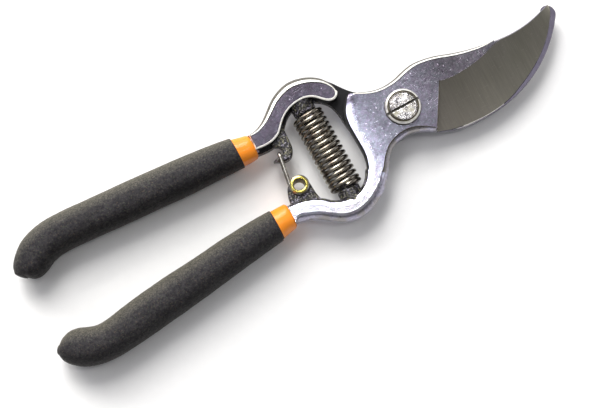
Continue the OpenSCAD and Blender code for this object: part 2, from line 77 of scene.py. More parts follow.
def smooth(P, deg=4.0, kmax=16, longest=1.3):
    """Closed outline through rows [x, y, values...]; a row that ends in "C" is a sharp corner."""
    V = [as_array(p) for p in P]
    C = [p[-1] == "C" for p in P]
    n = len(V)

    def gap(a, b):
        return max(math.hypot(b[0] - a[0], b[1] - a[1]), 1e-3)

    def vel(i):
        a, b, c = V[(i - 1) % n], V[i % n], V[(i + 1) % n]
        h, g = gap(a, b), gap(b, c)
        return ((b - a) / h * g + (c - b) / g * h) / (g + h)

    def turn(a, b):
        d = (a[0] * b[0] + a[1] * b[1]) / max(math.hypot(a[0], a[1]) * math.hypot(b[0], b[1]), 1e-6)
        return math.degrees(math.acos(max(-1.0, min(1.0, d))))

    out = []
    for i in range(n):
        j = (i + 1) % n
        a, b = V[i], V[j]
        h = gap(a, b)
        c = (b - a) / h
        m = c if C[i] else vel(i)
        q = c if C[j] else vel(j)
        k = int(max(1, min(kmax, math.ceil((turn(m, c) + turn(q, c)) / deg)), math.ceil(h / longest)))
        for s in range(k):
            t = s / k
            out.append((2 * t**3 - 3 * t**2 + 1) * a + (t**3 - 2 * t**2 + t) * m * h + (3 * t**2 - 2 * t**3) * b + (t**3 - t**2) * q * h)
    return np.array(out)


def smooth_rows(P, k):
    """Open run through rows of numbers."""
    P = np.array(P, float)
    V = np.empty_like(P)
    V[0], V[-1] = P[1] - P[0], P[-1] - P[-2]
    V[1:-1] = (P[2:] - P[:-2]) / 2
    out = []
    for i in range(len(P) - 1):
        for s in range(k):
            t = s / k
            out.append((2 * t**3 - 3 * t**2 + 1) * P[i] + (t**3 - 2 * t**2 + t) * V[i] + (3 * t**2 - 2 * t**3) * P[i + 1] + (t**3 - t**2) * V[i + 1])
    out.append(P[-1])
    return np.array(out)


def inward(Q):
    d = np.roll(Q[:, :2], -1, 0) - np.roll(Q[:, :2], 1, 0)
    d /= np.maximum(np.linalg.norm(d, axis=1), 1e-9)[:, None]
    return np.stack([-d[:, 1], d[:, 0]], 1)


def relax(ring, base, w, rounds=0):
    """Evens out a drawn-in outline where it would fold over itself."""
    P = ring.copy()
    for _ in range(60):
        e = np.roll(P, -1, 0) - P
        b = np.roll(base, -1, 0) - base
        bad = (e * b).sum(1) < 0.15 * (b * b).sum(1)
        if not bad.any():
            break
        touch = bad | np.roll(bad, 1) | np.roll(bad, -1) | np.roll(bad, 2)
        mean = (np.roll(P, 1, 0) + np.roll(P, -1, 0)) / 2
        P[touch] = P[touch] * 0.4 + mean[touch] * 0.6
    return P


def mesh_object(name, verts, faces, mats=(), index=None, scale=MM):
    me = bpy.data.meshes.new(name)
    me.from_pydata([tuple(v) for v in (np.asarray(verts, float) * scale)], [], [tuple(int(i) for i in f) for f in faces])
    for m in mats:
        me.materials.append(m)
    if index is not None:
        me.polygons.foreach_set("material_index", np.asarray(index, np.int32))
    me.update()
    o = bpy.data.objects.new(name, me)
    bpy.context.scene.collection.objects.link(o)
    return o


def stack(rings, mats, cap_lo=0, cap_hi=0, strip_mat=None):
    """Closed solid from rings that run the same way, counter-clockwise about the direction of travel. strip_mat(k, i) gives the material of each wall face."""
    n, m = len(rings[0]), len(rings)
    verts = np.concatenate(rings)
    faces, idx = [], []
    for k in range(m - 1):
        for i in range(n):
            j = (i + 1) % n
            faces.append((k * n + i, k * n + j, (k + 1) * n + j, (k + 1) * n + i))
            idx.append(strip_mat(k, i) if strip_mat else 0)
    faces.append(tuple(range(n - 1, -1, -1)))
    idx.append(cap_lo)
    faces.append(tuple((m - 1) * n + i for i in range(n)))
    idx.append(cap_hi)
    return verts, faces, idx


# EDG, LIN, UND and DUL are painted light: highlight band, shade line, shaded flank and grey reflection
POL, BLK, GRD, SLD, EDG, LIN, UND, PNT, DUL = range(9)  # material slots of a forging

N_ROUND = 10
THETA0 = math.radians(24)


def profile(t, crown):
    """Share of the draw-in that is left, and share of the drop that is done, at t = 0 on the face's edge to t = 1 on the wall."""
    th = THETA0 + (math.pi / 2 - THETA0) * t
    s_a = (1 - math.sin(th)) / (1 - math.sin(THETA0))
    z_a = (math.cos(THETA0) - math.cos(th)) / math.cos(THETA0)
    s_b, z_b = 1 - t, t ** (1.6 + 0.8 * max(0.0, crown - 1))
    c = min(crown, 1.0)
    return s_a * (1 - c) + s_b * c, z_a * (1 - c) + z_b * c


def plate(name, P, z_lo, z_hi, face, back, rounded="top", mats=(), brk=0.12, walls=3):
    """A flat piece on an outline of rows [x, y, w, D, crown, ink]: its rounded edge is w wide and D deep, and black below ink."""
    Q = smooth(P)
    nrm = inward(Q)
    w, D, crown, ink = Q[:, 2].clip(0), Q[:, 3], Q[:, 4].clip(0, 2), Q[:, 5]
    base = Q[:, :2]
    rings, ts = [], []

    def ring(inset, z):
        xy = base + nrm * inset[:, None]
        xy = relax(xy, base, inset)
        return np.column_stack([xy, z])

    # from the rounded face to the wall's far end
    for t in np.linspace(0, 1, N_ROUND):
        s = np.array([profile(t, c) for c in crown])
        rings.append(ring(w * s[:, 0], (z_hi - D * s[:, 1]) if rounded == "top" else (z_lo + D * s[:, 1])))
        ts.append(t)
    zero = np.zeros(len(Q))
    end = (z_lo + brk) if rounded == "top" else (z_hi - brk)
    for f in np.linspace(0, 1, walls + 1)[1:]:
        z = rings[N_ROUND - 1][:, 2] * (1 - f) + end * f
        rings.append(ring(zero, z))
        ts.append(1 + f)
    last = z_lo if rounded == "top" else z_hi
    rings.append(ring(np.minimum(brk, 0.5) + zero, last + zero))
    ts.append(2.2)
    if rounded == "top":
        rings.reverse()
        ts.reverse()
    n = len(Q)

    def strip(k, i):
        t = (ts[k] + ts[k + 1]) / 2
        # painted light by edge kind: LIN is a painted shade line, UND a painted-shade flank, EDG a painted highlight
        # band and DUL a painted grey reflection; on a rim the thin black line at the crease is painted shade
        if ink[i] > 5.5:
            return LIN
        if ink[i] > 4.5:
            return POL if t < 0.5 else UND
        if ink[i] > 3.5:
            return LIN if t < 0.11 else UND
        if ink[i] < -1.2:
            return PNT if t < 0.06 else EDG if t < 0.36 else DUL
        if t > (abs(ink[i]) + abs(ink[(i + 1) % n])) / 2:
            return PNT if rounded == "top" else BLK
        return EDG if ink[i] < 0 else POL

    lo_mat, hi_mat = (back, face)
    v, f, idx = stack(rings, mats, lo_mat, hi_mat, strip)
    return mesh_object(name, v, f, mats, idx, 1.0)


def lathe(name, rz, n, mats, mat_of=None, axis="Z", at=(0, 0, 0), scale=MM, closed=False):
    """Turned piece from a profile [(r, z), ...]; the ends lie on the axis, or the profile is a closed loop."""
    verts, faces, idx = [], [], []
    ring = []
    for r, z in rz:
        if r < 1e-6 and not closed:
            ring.append([len(verts)])
            verts.append((0, 0, z))
        else:
            ring.append(list(range(len(verts), len(verts) + n)))
            verts += [(r * math.cos(2 * math.pi * i / n), r * math.sin(2 * math.pi * i / n), z) for i in range(n)]
    pairs = [(k, k + 1) for k in range(len(rz) - 1)] + ([(len(rz) - 1, 0)] if closed else [])
    for a, b in pairs:
        A, B = ring[a], ring[b]
        for i in range(n):
            j = (i + 1) % n
            if len(A) == 1 and len(B) == 1:
                continue
            if len(A) == 1:
                faces.append((A[0], B[j], B[i]))
            elif len(B) == 1:
                faces.append((A[i], A[j], B[0]))
            else:
                faces.append((A[i], A[j], B[j], B[i]))
            idx.append(mat_of(a) if mat_of else 0)
    V = np.array(verts, float)
    if axis == "Y":  # z runs along +Y
        V = np.column_stack([V[:, 0], V[:, 2], -V[:, 1]])
    if axis == "-Y":
        V = np.column_stack([V[:, 0], -V[:, 2], V[:, 1]])
    V += np.array(at, float)
    return mesh_object(name, V, faces, mats, idx, scale)


def outward(o):
    """Turns every face outwards."""
    bm = bmesh.new()
    bm.from_mesh(o.data)
    bmesh.ops.recalc_face_normals(bm, faces=bm.faces)
    bm.to_mesh(o.data)
    bm.free()
    o.data.update()


def split_big(o):
    """Cuts the large flat faces into triangles, which booleans handle cleanly."""
    bm = bmesh.new()
    bm.from_mesh(o.data)
    big = [f for f in bm.faces if len(f.verts) > 12]
    if big:
        bmesh.ops.triangulate(bm, faces=big, quad_method="BEAUTY", ngon_method="BEAUTY")
    bm.to_mesh(o.data)
    bm.free()
    o.data.update()


def combine(name, base, others, operation="UNION"):
    """Applies the others to base as booleans."""
    for o in [base] + others:
        split_big(o)
    for k, other in enumerate(others):
        md = base.modifiers.new("b%d" % k, "BOOLEAN")
        md.operation = operation
        md.object = other
        try:
            md.solver = "MANIFOLD"
        except TypeError:
            md.solver = "EXACT"
        bpy.context.view_layer.update()
        dg = bpy.context.evaluated_depsgraph_get()
        before = len(base.data.polygons)
        me = bpy.data.meshes.new_from_object(base.evaluated_get(dg))
        base.modifiers.clear()
        if len(me.polygons) < 0.5 * before:
            raise RuntimeError("boolean %s with %s failed" % (name, other.name))
        old = base.data
        base.data = me
        bpy.data.meshes.remove(old)
    for other in others:
        bpy.data.objects.remove(other, do_unlink=True)
    base.name = name
    return base


def finish_shape(o, angle=28.0, scale=MM, split=(GRD,)):
    """Scales to metres and marks the crisp edges, so that flat faces stay flat in reflections."""
    bm = bmesh.new()
    bm.from_mesh(o.data)
    bmesh.ops.remove_doubles(bm, verts=bm.verts, dist=2e-4 if scale != 1.0 else 2e-7)
    bmesh.ops.dissolve_degenerate(bm, edges=bm.edges, dist=1e-4 if scale != 1.0 else 1e-7)
    bm.normal_update()
    lim = math.radians(angle)
    for f in bm.faces:
        f.smooth = True
    for e in bm.edges:
        e.smooth = True
        if len(e.link_faces) == 2:
            a, b = e.link_faces
            if a.normal.length < 0.5 or b.normal.length < 0.5:
                continue
            if a.normal.angle(b.normal, 0) > lim:
                e.smooth = False
            elif (abs(a.normal.z) > 0.99999) != (abs(b.normal.z) > 0.99999):
                e.smooth = False
            elif a.material_index != b.material_index and (a.material_index in split or b.material_index in split):
                e.smooth = False
    if scale != 1.0:
        bmesh.ops.scale(bm, vec=(scale,) * 3, verts=bm.verts)
    bm.to_mesh(o.data)
    bm.free()
    o.data.update()
    return o


def smooth_all(o, angle=35.0):
    return finish_shape(o, angle, 1.0, ())


# ---------------------------------------------------------------- materials


class Nodes:
    """Short names for making one material's nodes."""

    def __init__(self, name, **fixed):
        self.m = bpy.data.materials.new(name)
        self.m.use_nodes = True
        self.t = self.m.node_tree
        self.t.nodes.clear()
        self.out = self.t.nodes.new("ShaderNodeOutputMaterial")
        self.bsdf = self.t.nodes.new("ShaderNodeBsdfPrincipled")
        self.t.links.new(self.bsdf.outputs["BSDF"], self.out.inputs["Surface"])
        for k, v in fixed.items():
            self.bsdf.inputs[k.replace("_", " ")].default_value = v
        self.co = self.t.nodes.new("ShaderNodeTexCoord").outputs["Object"]

    def link(self, a, b):
        if isinstance(a, (int, float)):
            b.default_value = a
        elif isinstance(a, (tuple, list)):
            b.default_value = tuple(a) + ((1.0,) if len(a) == 3 and len(b.default_value) == 4 else ())
        else:
            self.t.links.new(a, b)

    def map(self, scale=(1, 1, 1), rot=(0, 0, 0), loc=(0, 0, 0), vec=None):
        n = self.t.nodes.new("ShaderNodeMapping")
        self.link(self.co if vec is None else vec, n.inputs["Vector"])
        n.inputs["Scale"].default_value = scale
        n.inputs["Rotation"].default_value = [math.radians(r) for r in rot]
        n.inputs["Location"].default_value = loc
        return n.outputs["Vector"]

    def noise(self, scale, detail=2.0, rough=0.5, vec=None, dist=0.0):
        n = self.t.nodes.new("ShaderNodeTexNoise")
        self.link(self.co if vec is None else vec, n.inputs["Vector"])
        n.inputs["Scale"].default_value = scale
        n.inputs["Detail"].default_value = detail
        n.inputs["Roughness"].default_value = rough
        n.inputs["Distortion"].default_value = dist
        return n.outputs["Fac"]

    def cells(self, scale, vec=None, feature="F1", random=1.0):
        n = self.t.nodes.new("ShaderNodeTexVoronoi")
        n.feature = feature
        self.link(self.co if vec is None else vec, n.inputs["Vector"])
        n.inputs["Scale"].default_value = scale
        n.inputs["Randomness"].default_value = random
        return n.outputs["Distance"], n.outputs["Color"] if feature == "F1" else None

    def ramp(self, fac, stops, ease="LINEAR"):
        n = self.t.nodes.new("ShaderNodeValToRGB")
        n.color_ramp.interpolation = ease
        el = n.color_ramp.elements
        while len(el) < len(stops):
            el.new(0.5)
        for e, (p, c) in zip(el, stops):
            e.position = p
            e.color = (c, c, c, 1) if isinstance(c, (int, float)) else tuple(c) + (1,)
        self.link(fac, n.inputs["Fac"])
        return n.outputs["Color"]

    def math(self, op, a, b=0.0, c=0.0, clamp=False):
        n = self.t.nodes.new("ShaderNodeMath")
        n.operation = op
        n.use_clamp = clamp
        for v, i in zip((a, b, c), n.inputs):
            self.link(v, i)
        return n.outputs[0]

    def vmath(self, op, a, b=(0, 0, 0)):
        n = self.t.nodes.new("ShaderNodeVectorMath")
        n.operation = op
        self.link(a, n.inputs[0])
        self.link(b, n.inputs[1])
        return n.outputs["Value"] if op in ("DOT_PRODUCT", "LENGTH", "DISTANCE") else n.outputs["Vector"]

    def xyz(self, v=None):
        n = self.t.nodes.new("ShaderNodeSeparateXYZ")
        self.link(self.co if v is None else v, n.inputs[0])
        return n.outputs

    def combine(self, x, y, z):
        n = self.t.nodes.new("ShaderNodeCombineXYZ")
        for v, i in zip((x, y, z), n.inputs):
            self.link(v, i)
        return n.outputs[0]

    def mix(self, fac, a, b, blend="MIX"):
        n = self.t.nodes.new("ShaderNodeMix")
        n.data_type = "RGBA"
        n.blend_type = blend
        n.clamp_factor = True
        self.link(fac, n.inputs["Factor"])
        self.link(a, n.inputs[6])
        self.link(b, n.inputs[7])
        return n.outputs[2]

    def lerp(self, fac, a, b):
        n = self.t.nodes.new("ShaderNodeMix")
        n.data_type = "FLOAT"
        n.clamp_factor = True
        self.link(fac, n.inputs[0])
        self.link(a, n.inputs[2])
        self.link(b, n.inputs[3])
        return n.outputs[0]

    def bump(self, height, strength, distance, normal=None):
        n = self.t.nodes.new("ShaderNodeBump")
        n.inputs["Strength"].default_value = strength
        n.inputs["Distance"].default_value = distance
        self.link(height, n.inputs["Height"])
        if normal is not None:
            self.link(normal, n.inputs["Normal"])
        return n.outputs["Normal"]

    def set(self, **sockets):
        for k, v in sockets.items():
            self.link(v, self.bsdf.inputs[k.replace("_", " ")])
        return self.m

    def scratches(self, angle, fine, long, low, high, seed=0.0):
        """Thin lines along one direction, 0 to 1."""
        v = self.map((long, fine, fine), (0, 0, angle), (seed, seed * 1.7, seed * 0.3))
        return self.ramp(self.noise(1.0, 1.0, 0.4, v), [(low, 0.0), (high, 1.0)])


def steel_polished(name="steel_polished", shade=None):
    k = Nodes(name, Metallic=1.0)
    patches = k.noise(70, 3, 0.55)
    mottle = k.noise(1500, 3, 0.6)
    coarse = k.noise(420, 3, 0.6)
    x, y, z = k.xyz()
    # painted reflection: the base colour is brightest on the loop and darkest on the neck and towards the blade,
    # copying how the faces catch the light; the neck's darker base is painted shade
    along = k.math("MULTIPLY_ADD", x, 20.0, 0.5)
    bright = k.ramp(along, [(0.10, (0.84, 0.84, 0.99)), (0.20, (0.68, 0.68, 0.88)), (0.30, (0.43, 0.43, 0.54)), (0.45, (0.345, 0.34, 0.42)), (0.62, (0.325, 0.31, 0.39)), (0.92, (0.205, 0.19, 0.225))])
    neck_painted_shade = k.math("MULTIPLY", k.ramp(k.math("MULTIPLY_ADD", y, 100.0, -0.5), [(0.35, 0.0), (0.55, 1.0)]), k.ramp(k.math("MULTIPLY", x, -60.0), [(0.60, 0.0), (0.85, 1.0)]))
    bright = k.mix(neck_painted_shade, bright, k.mix(k.noise(130, 2, 0.5), (0.132, 0.122, 0.182), (0.205, 0.175, 0.208)))
    # darker and browner towards the outer edge of the lower loop
    low = k.ramp(k.math("MULTIPLY_ADD", y, -100.0, -1.3), [(0.40, 0.0), (0.95, 0.6)])
    bright = k.mix(low, bright, (0.56, 0.53, 0.54))
    if shade:
        bright = k.mix(1.0, bright, shade, "MULTIPLY")
    tone = k.ramp(coarse, [(0.30, 0.72), (0.52, 1.0), (0.75, 1.22)])
    col = k.mix(1.0, bright, tone, "MULTIPLY")
    hue = k.noise(900, 1, 0.5, k.map(loc=(11, 3, 6)))
    col = k.mix(0.35, col, k.mix(1.0, col, k.ramp(hue, [(0.35, (1.12, 0.94, 1.10)), (0.5, (1.0, 1.0, 1.0)), (0.65, (0.90, 1.06, 0.98))]), "MULTIPLY"))
    col = k.mix(k.ramp(mottle, [(0.54, 0.0), (0.72, 0.5)]), col, k.mix(1.0, col, (1.8, 1.8, 1.7), "MULTIPLY"))
    col = k.mix(k.ramp(k.noise(1100, 2, 0.5, k.map(loc=(3, 1, 2))), [(0.28, 0.7), (0.42, 0.0)]), col, k.mix(1.0, col, (0.42, 0.39, 0.46), "MULTIPLY"))
    # groups of scratches
    group = k.ramp(k.noise(130, 1, 0.5, k.map(loc=(7, 7, 1))), [(0.50, 0.0), (0.62, 1.0)])
    s1 = k.scratches(38, 5200, 330, 0.66, 0.72, 1.0)
    s2 = k.scratches(-27, 4300, 260, 0.67, 0.73, 5.0)
    s3 = k.scratches(81, 6000, 420, 0.68, 0.74, 9.0)
    lines = k.math("ADD", k.math("ADD", s1, s2), s3, clamp=True)
    lines = k.math("MULTIPLY", lines, k.math("MULTIPLY_ADD", group, 0.8, 0.12))
    col = k.mix(k.math("MULTIPLY", lines, 0.34), col, (0.62, 0.61, 0.68))
    # pits left from the forging
    d, c = k.cells(620)
    pit = k.math("MULTIPLY", k.ramp(d, [(0.10, 1.0), (0.20, 0.0)]), k.ramp(k.xyz(c)[0], [(0.80, 0.0), (0.86, 1.0)]))
    col = k.mix(k.math("MULTIPLY", pit, 0.8), col, (0.13, 0.12, 0.14))
    rough = k.math("MULTIPLY_ADD", patches, 0.14, 0.135)
    rough = k.math("ADD", rough, k.math("MULTIPLY_ADD", mottle, 0.12, -0.05))
    rough = k.math("ADD", rough, k.math("MULTIPLY", pit, 0.3), clamp=True)
    height = k.math("ADD", k.math("MULTIPLY", coarse, 0.55), k.math("MULTIPLY", mottle, 0.4))
    height = k.math("SUBTRACT", height, k.math("MULTIPLY", lines, 0.12))
    height = k.math("SUBTRACT", height, k.math("MULTIPLY", pit, 1.6))
    n = k.bump(height, 0.5, 0.00004)
    n = k.bump(k.noise(95, 2, 0.4), 0.35, 0.00030, n)
    return k.set(Base_Color=col, Roughness=rough, Normal=n)


def steel_highlight_edge():
    """Near-white edges: a painted highlight that stands for the bright reflection along the rims, the bolt's chamfer
    and the neck's inner edge.
    """
    k = Nodes("steel_highlight_edge", Metallic=0.6, IOR=1.5)
    fine = k.noise(1900, 3, 0.6)
    patch = k.noise(300, 2, 0.5)
    col = k.mix(k.ramp(fine, [(0.35, 0.0), (0.6, 1.0)]), (0.82, 0.80, 0.74), (0.98, 0.965, 0.90))
    col = k.mix(k.ramp(patch, [(0.30, 0.6), (0.42, 0.0)]), col, (0.50, 0.47, 0.50))
    rough = k.math("MULTIPLY_ADD", fine, 0.2, 0.26)
    n = k.bump(fine, 0.4, 0.00006)
    return k.set(Base_Color=col, Roughness=rough, Normal=n)


def steel_shaded_flank():
    """The rounded flanks: a darker copy of the polished steel, painted shade on the flanks that face away from the
    light, with brown stains.
    """
    k = Nodes("steel_shaded_flank", Metallic=1.0)
    fine = k.noise(1500, 3, 0.6)
    patch = k.noise(210, 2, 0.5)
    col = k.mix(k.ramp(fine, [(0.35, 0.0), (0.65, 1.0)]), (0.27, 0.26, 0.325), (0.40, 0.385, 0.47))
    col = k.mix(k.ramp(patch, [(0.42, 0.7), (0.56, 0.0)]), col, (0.25, 0.235, 0.205))
    d, c = k.cells(620)
    col = k.mix(k.math("MULTIPLY", k.ramp(d, [(0.10, 0.8), (0.20, 0.0)]), k.ramp(k.xyz(c)[0], [(0.80, 0.0), (0.86, 1.0)])), col, (0.12, 0.11, 0.12))
    n = k.bump(fine, 0.4, 0.00005)
    n = k.bump(k.noise(160, 2, 0.4), 0.4, 0.00030, n)
    return k.set(Base_Color=col, Roughness=k.math("MULTIPLY_ADD", fine, 0.18, 0.20), Normal=n)


def painted_shade_line():
    """Painted shade: a dark line along creases, steps and grooves, and round the foot of the bolt head, where shadow
    falls.
    """
    k = Nodes("grime_and_painted_shade", Metallic=0.5, IOR=1.4)
    n1 = k.noise(700, 3, 0.6)
    col = k.mix(k.ramp(n1, [(0.35, 0.0), (0.68, 1.0)]), (0.035, 0.030, 0.024), (0.125, 0.108, 0.070))
    return k.set(Base_Color=col, Roughness=k.math("MULTIPLY_ADD", n1, 0.2, 0.4))


def steel_black():
    k = Nodes("steel_black", Metallic=0.0, IOR=1.38)
    fine = k.noise(1800, 3, 0.65)
    coarse = k.noise(620, 3, 0.6)
    d, c = k.cells(1500)
    col = k.mix(k.ramp(coarse, [(0.35, 0.0), (0.7, 1.0)]), (0.005, 0.0045, 0.0055), (0.014, 0.013, 0.0155))
    # bare spots where the paint has worn off the high grains; their light lilac and olive tints are also painted glints
    worn_spot_and_glint = k.math("MULTIPLY", k.ramp(fine, [(0.52, 0.0), (0.61, 1.0)]), k.ramp(k.noise(260, 2, 0.6, k.map(loc=(2, 5, 3))), [(0.36, 0.2), (0.52, 1.0)]))
    tint = k.mix(k.ramp(k.noise(800, 1, 0.5, k.map(loc=(6, 1, 4))), [(0.42, 0.0), (0.58, 1.0)]), (0.44, 0.41, 0.52), (0.40, 0.38, 0.25))
    col = k.mix(k.math("MULTIPLY", worn_spot_and_glint, 0.75), col, tint)
    rough = k.ramp(coarse, [(0.3, 0.32), (0.7, 0.50)])
    h = k.math("ADD", k.math("MULTIPLY", fine, 0.5), k.math("ADD", k.math("MULTIPLY", coarse, 1.0), k.math("MULTIPLY", d, 0.5)))
    n = k.bump(h, 0.8, 0.00026)
    return k.set(Base_Color=col, Roughness=rough, Normal=n)


def steel_painted():
    """Smooth black paint, as on the walls between the polished faces and the castings."""
    k = Nodes("steel_painted", Metallic=0.0, IOR=1.26)
    coarse = k.noise(620, 3, 0.6)
    col = k.mix(k.ramp(coarse, [(0.35, 0.0), (0.7, 1.0)]), (0.0045, 0.0042, 0.0050), (0.0115, 0.0108, 0.0125))
    col = k.mix(k.ramp(k.noise(1800, 3, 0.65), [(0.62, 0.0), (0.72, 0.35)]), col, (0.20, 0.18, 0.20))
    n = k.bump(coarse, 0.5, 0.00010)
    return k.set(Base_Color=col, Roughness=k.ramp(coarse, [(0.3, 0.40), (0.7, 0.58)]), Normal=n)


def dull_edge():
    """Dull grey on the outer flank of an edge, a painted reflection that stands for the dim grey the steel reflects
    there; the bolt's slot walls use it too.
    """
    k = Nodes("dull_edge", Metallic=0.0, IOR=1.35)
    fine = k.noise(1500, 3, 0.6)
    col = k.mix(k.ramp(fine, [(0.35, 0.0), (0.65, 1.0)]), (0.060, 0.056, 0.046), (0.135, 0.128, 0.110))
    return k.set(Base_Color=col, Roughness=k.math("MULTIPLY_ADD", fine, 0.2, 0.45), Normal=k.bump(fine, 0.4, 0.00005))


def steel_ground():
    """The satin bevel of the blade: fine grinding lines across it."""
    k = Nodes("steel_ground", Metallic=1.0)
    lines = k.noise(1.0, 4, 0.65, k.map((5200, 120, 300), (0, 0, 8)))
    wide = k.noise(1.0, 3, 0.6, k.map((1300, 45, 100), (0, 0, 8), (2, 3, 1)))
    blotch = k.noise(60, 2, 0.5)
    col = k.mix(k.ramp(lines, [(0.3, 0.0), (0.7, 1.0)]), (0.215, 0.208, 0.176), (0.285, 0.275, 0.235))
    col = k.mix(k.ramp(wide, [(0.35, 0.35), (0.65, 0.0)]), col, (0.19, 0.182, 0.165))
    col = k.mix(k.ramp(blotch, [(0.4, 0.0), (0.7, 0.25)]), col, (0.23, 0.215, 0.21))
    s1 = k.scratches(55, 5000, 300, 0.71, 0.76, 3.0)
    col = k.mix(k.math("MULTIPLY", s1, 0.4), col, (0.42, 0.41, 0.38))
    x, y, z = k.xyz()
    # painted reflection: the bevel's colour brightens towards the tip, copying how the bevel catches the light
    col = k.mix(1.0, col, k.ramp(k.math("MULTIPLY", x, 15.0), [(0.10, (0.68, 0.65, 0.65)), (0.35, (0.80, 0.78, 0.76)), (0.60, (0.98, 0.97, 0.94)), (0.95, (1.30, 1.29, 1.21))]), "MULTIPLY")
    rough = k.math("ADD", k.math("MULTIPLY_ADD", lines, 0.14, 0.27), k.math("MULTIPLY", blotch, 0.06))
    h = k.math("ADD", lines, k.math("MULTIPLY", wide, 0.8))
    n = k.bump(h, 0.35, 0.00002)
    return k.set(Base_Color=col, Roughness=rough, Normal=n)


def steel_sliding():
    """The flat faces that slide on each other: ground, with rub marks round the pivot, and black paint outside them."""
    k = Nodes("steel_sliding", IOR=1.22)
    x, y, z = k.xyz()
    r = k.math("SQRT", k.math("ADD", k.math("MULTIPLY", x, x), k.math("MULTIPLY", y, y)))
    rings = k.noise(1.0, 4, 0.7, k.combine(k.math("MULTIPLY", r, 3000.0), k.math("MULTIPLY", x, 40.0), k.math("MULTIPLY", y, 40.0)))
    wobble = k.noise(240, 3, 0.6)
    edge = k.math("ADD", r, k.math("MULTIPLY_ADD", wobble, 0.0022, -0.0011))
    painted = k.math("MULTIPLY", k.math("GREATER_THAN", edge, 0.0158), k.math("LESS_THAN", x, -0.002))
    steel = k.mix(k.ramp(rings, [(0.3, 0.0), (0.7, 1.0)]), (0.36, 0.35, 0.36), (0.60, 0.585, 0.60))
    steel = k.mix(k.ramp(wobble, [(0.3, 0.5), (0.55, 0.0)]), steel, (0.24, 0.22, 0.20))
    far = k.ramp(k.math("MULTIPLY", r, 10.0), [(0.20, 0.0), (0.30, 1.0)])
    steel = k.mix(far, steel, k.mix(k.noise(700, 3, 0.6), (0.085, 0.078, 0.108), (0.16, 0.147, 0.195)))
    col = k.mix(painted, steel, k.mix(k.noise(900, 2, 0.5), (0.006, 0.0056, 0.007), (0.013, 0.012, 0.0145)))
    streak = k.scratches(62, 2600, 90, 0.56, 0.66, 3.0)
    col = k.mix(k.math("MULTIPLY", k.math("MULTIPLY", streak, painted), k.ramp(k.math("MULTIPLY", r, 40.0), [(0.60, 0.55), (0.74, 0.0)])), col, (0.20, 0.19, 0.21))
    rough = k.lerp(painted, k.math("MULTIPLY_ADD", rings, 0.2, 0.25), k.math("MULTIPLY_ADD", wobble, 0.15, 0.26))
    metal = k.lerp(painted, 1.0, 0.0)
    h = k.lerp(painted, k.math("MULTIPLY", rings, 0.3), k.noise(520, 3, 0.55))
    n = k.bump(h, 0.45, 0.00008)
    return k.set(Base_Color=col, Roughness=rough, Metallic=metal, Normal=n)


def nickel(name="nickel", turned=True):
    k = Nodes(name, Metallic=1.0)
    x, y, z = k.xyz()
    r = k.math("SQRT", k.math("ADD", k.math("MULTIPLY", x, x), k.math("MULTIPLY", y, y)))
    rings = k.noise(1.0, 3, 0.7, k.combine(k.math("MULTIPLY", r, 3600.0), k.math("MULTIPLY", x, 60.0), k.math("MULTIPLY", y, 60.0)))
    patch = k.noise(520, 3, 0.6)
    col = k.mix(k.ramp(patch, [(0.38, 0.0), (0.60, 1.0)]), (0.215, 0.205, 0.220), (0.57, 0.56, 0.58))
    s1 = k.scratches(21, 5200, 500, 0.60, 0.67, 2.0)
    s2 = k.scratches(-58, 4200, 420, 0.61, 0.68, 4.0)
    s3 = k.scratches(71, 4700, 480, 0.62, 0.69, 6.0)
    lines = k.math("ADD", k.math("ADD", s1, s2), s3, clamp=True)
    col = k.mix(k.math("MULTIPLY", lines, 0.7), col, (0.30, 0.28, 0.24))
    grime_and_painted_shade = k.ramp(k.noise(330, 3, 0.6, k.map(loc=(4, 2, 8))), [(0.52, 0.0), (0.68, 0.6)])
    col = k.mix(grime_and_painted_shade, col, (0.36, 0.34, 0.24))
    rough = k.math("MULTIPLY_ADD", patch, 0.22, 0.12)
    rough = k.math("ADD", rough, k.math("MULTIPLY", grime_and_painted_shade, 0.2), clamp=True)
    h = k.math("SUBTRACT", k.math("MULTIPLY", rings, 0.4), k.math("MULTIPLY", lines, 0.8))
    n = k.bump(h, 0.6, 0.00005)
    n = k.bump(k.noise(430, 2, 0.5, k.map(loc=(1, 6, 2))), 0.9, 0.00042, n)
    return k.set(Base_Color=col, Roughness=rough, Normal=n)


def spring_wire(name="spring_wire", base=(0.46, 0.43, 0.36), dark=(0.12, 0.09, 0.07)):
    k = Nodes(name, Metallic=1.0)
    patch = k.noise(330, 3, 0.6)
    fine = k.noise(2600, 2, 0.6)
    col = k.mix(k.ramp(patch, [(0.40, 0.0), (0.66, 1.0)]), base, dark)
    col = k.mix(k.ramp(fine, [(0.60, 0.0), (0.75, 0.6)]), col, (0.62, 0.58, 0.50))
    rough = k.math("MULTIPLY_ADD", patch, 0.20, 0.14)
    h = k.math("ADD", k.math("MULTIPLY", fine, 0.4), k.math("MULTIPLY", patch, 0.6))
    n = k.bump(h, 0.35, 0.00005)
    return k.set(Base_Color=col, Roughness=rough, Normal=n)


def brass():
    k = Nodes("brass", Metallic=1.0)
    x, y, z = k.xyz()
    dx, dy = k.math("ADD", x, 0.0437), k.math("ADD", y, 0.0064)
    r = k.math("SQRT", k.math("ADD", k.math("MULTIPLY", dx, dx), k.math("MULTIPLY", dy, dy)))
    deep = k.math("MULTIPLY", k.math("LESS_THAN", r, 0.00215), k.math("LESS_THAN", k.math("ABSOLUTE", k.math("SUBTRACT", z, 0.008)), 0.0041))
    patch = k.noise(700, 3, 0.6)
    bright = k.mix(k.ramp(patch, [(0.35, 0.0), (0.7, 1.0)]), (0.96, 0.86, 0.27), (0.84, 0.70, 0.15))
    col = k.mix(deep, bright, (0.22, 0.17, 0.07))
    rough = k.lerp(deep, k.math("MULTIPLY_ADD", patch, 0.16, 0.14), 0.5)
    n = k.bump(k.noise(1800, 3, 0.6), 0.25, 0.00004)
    return k.set(Base_Color=col, Roughness=rough, Normal=n)


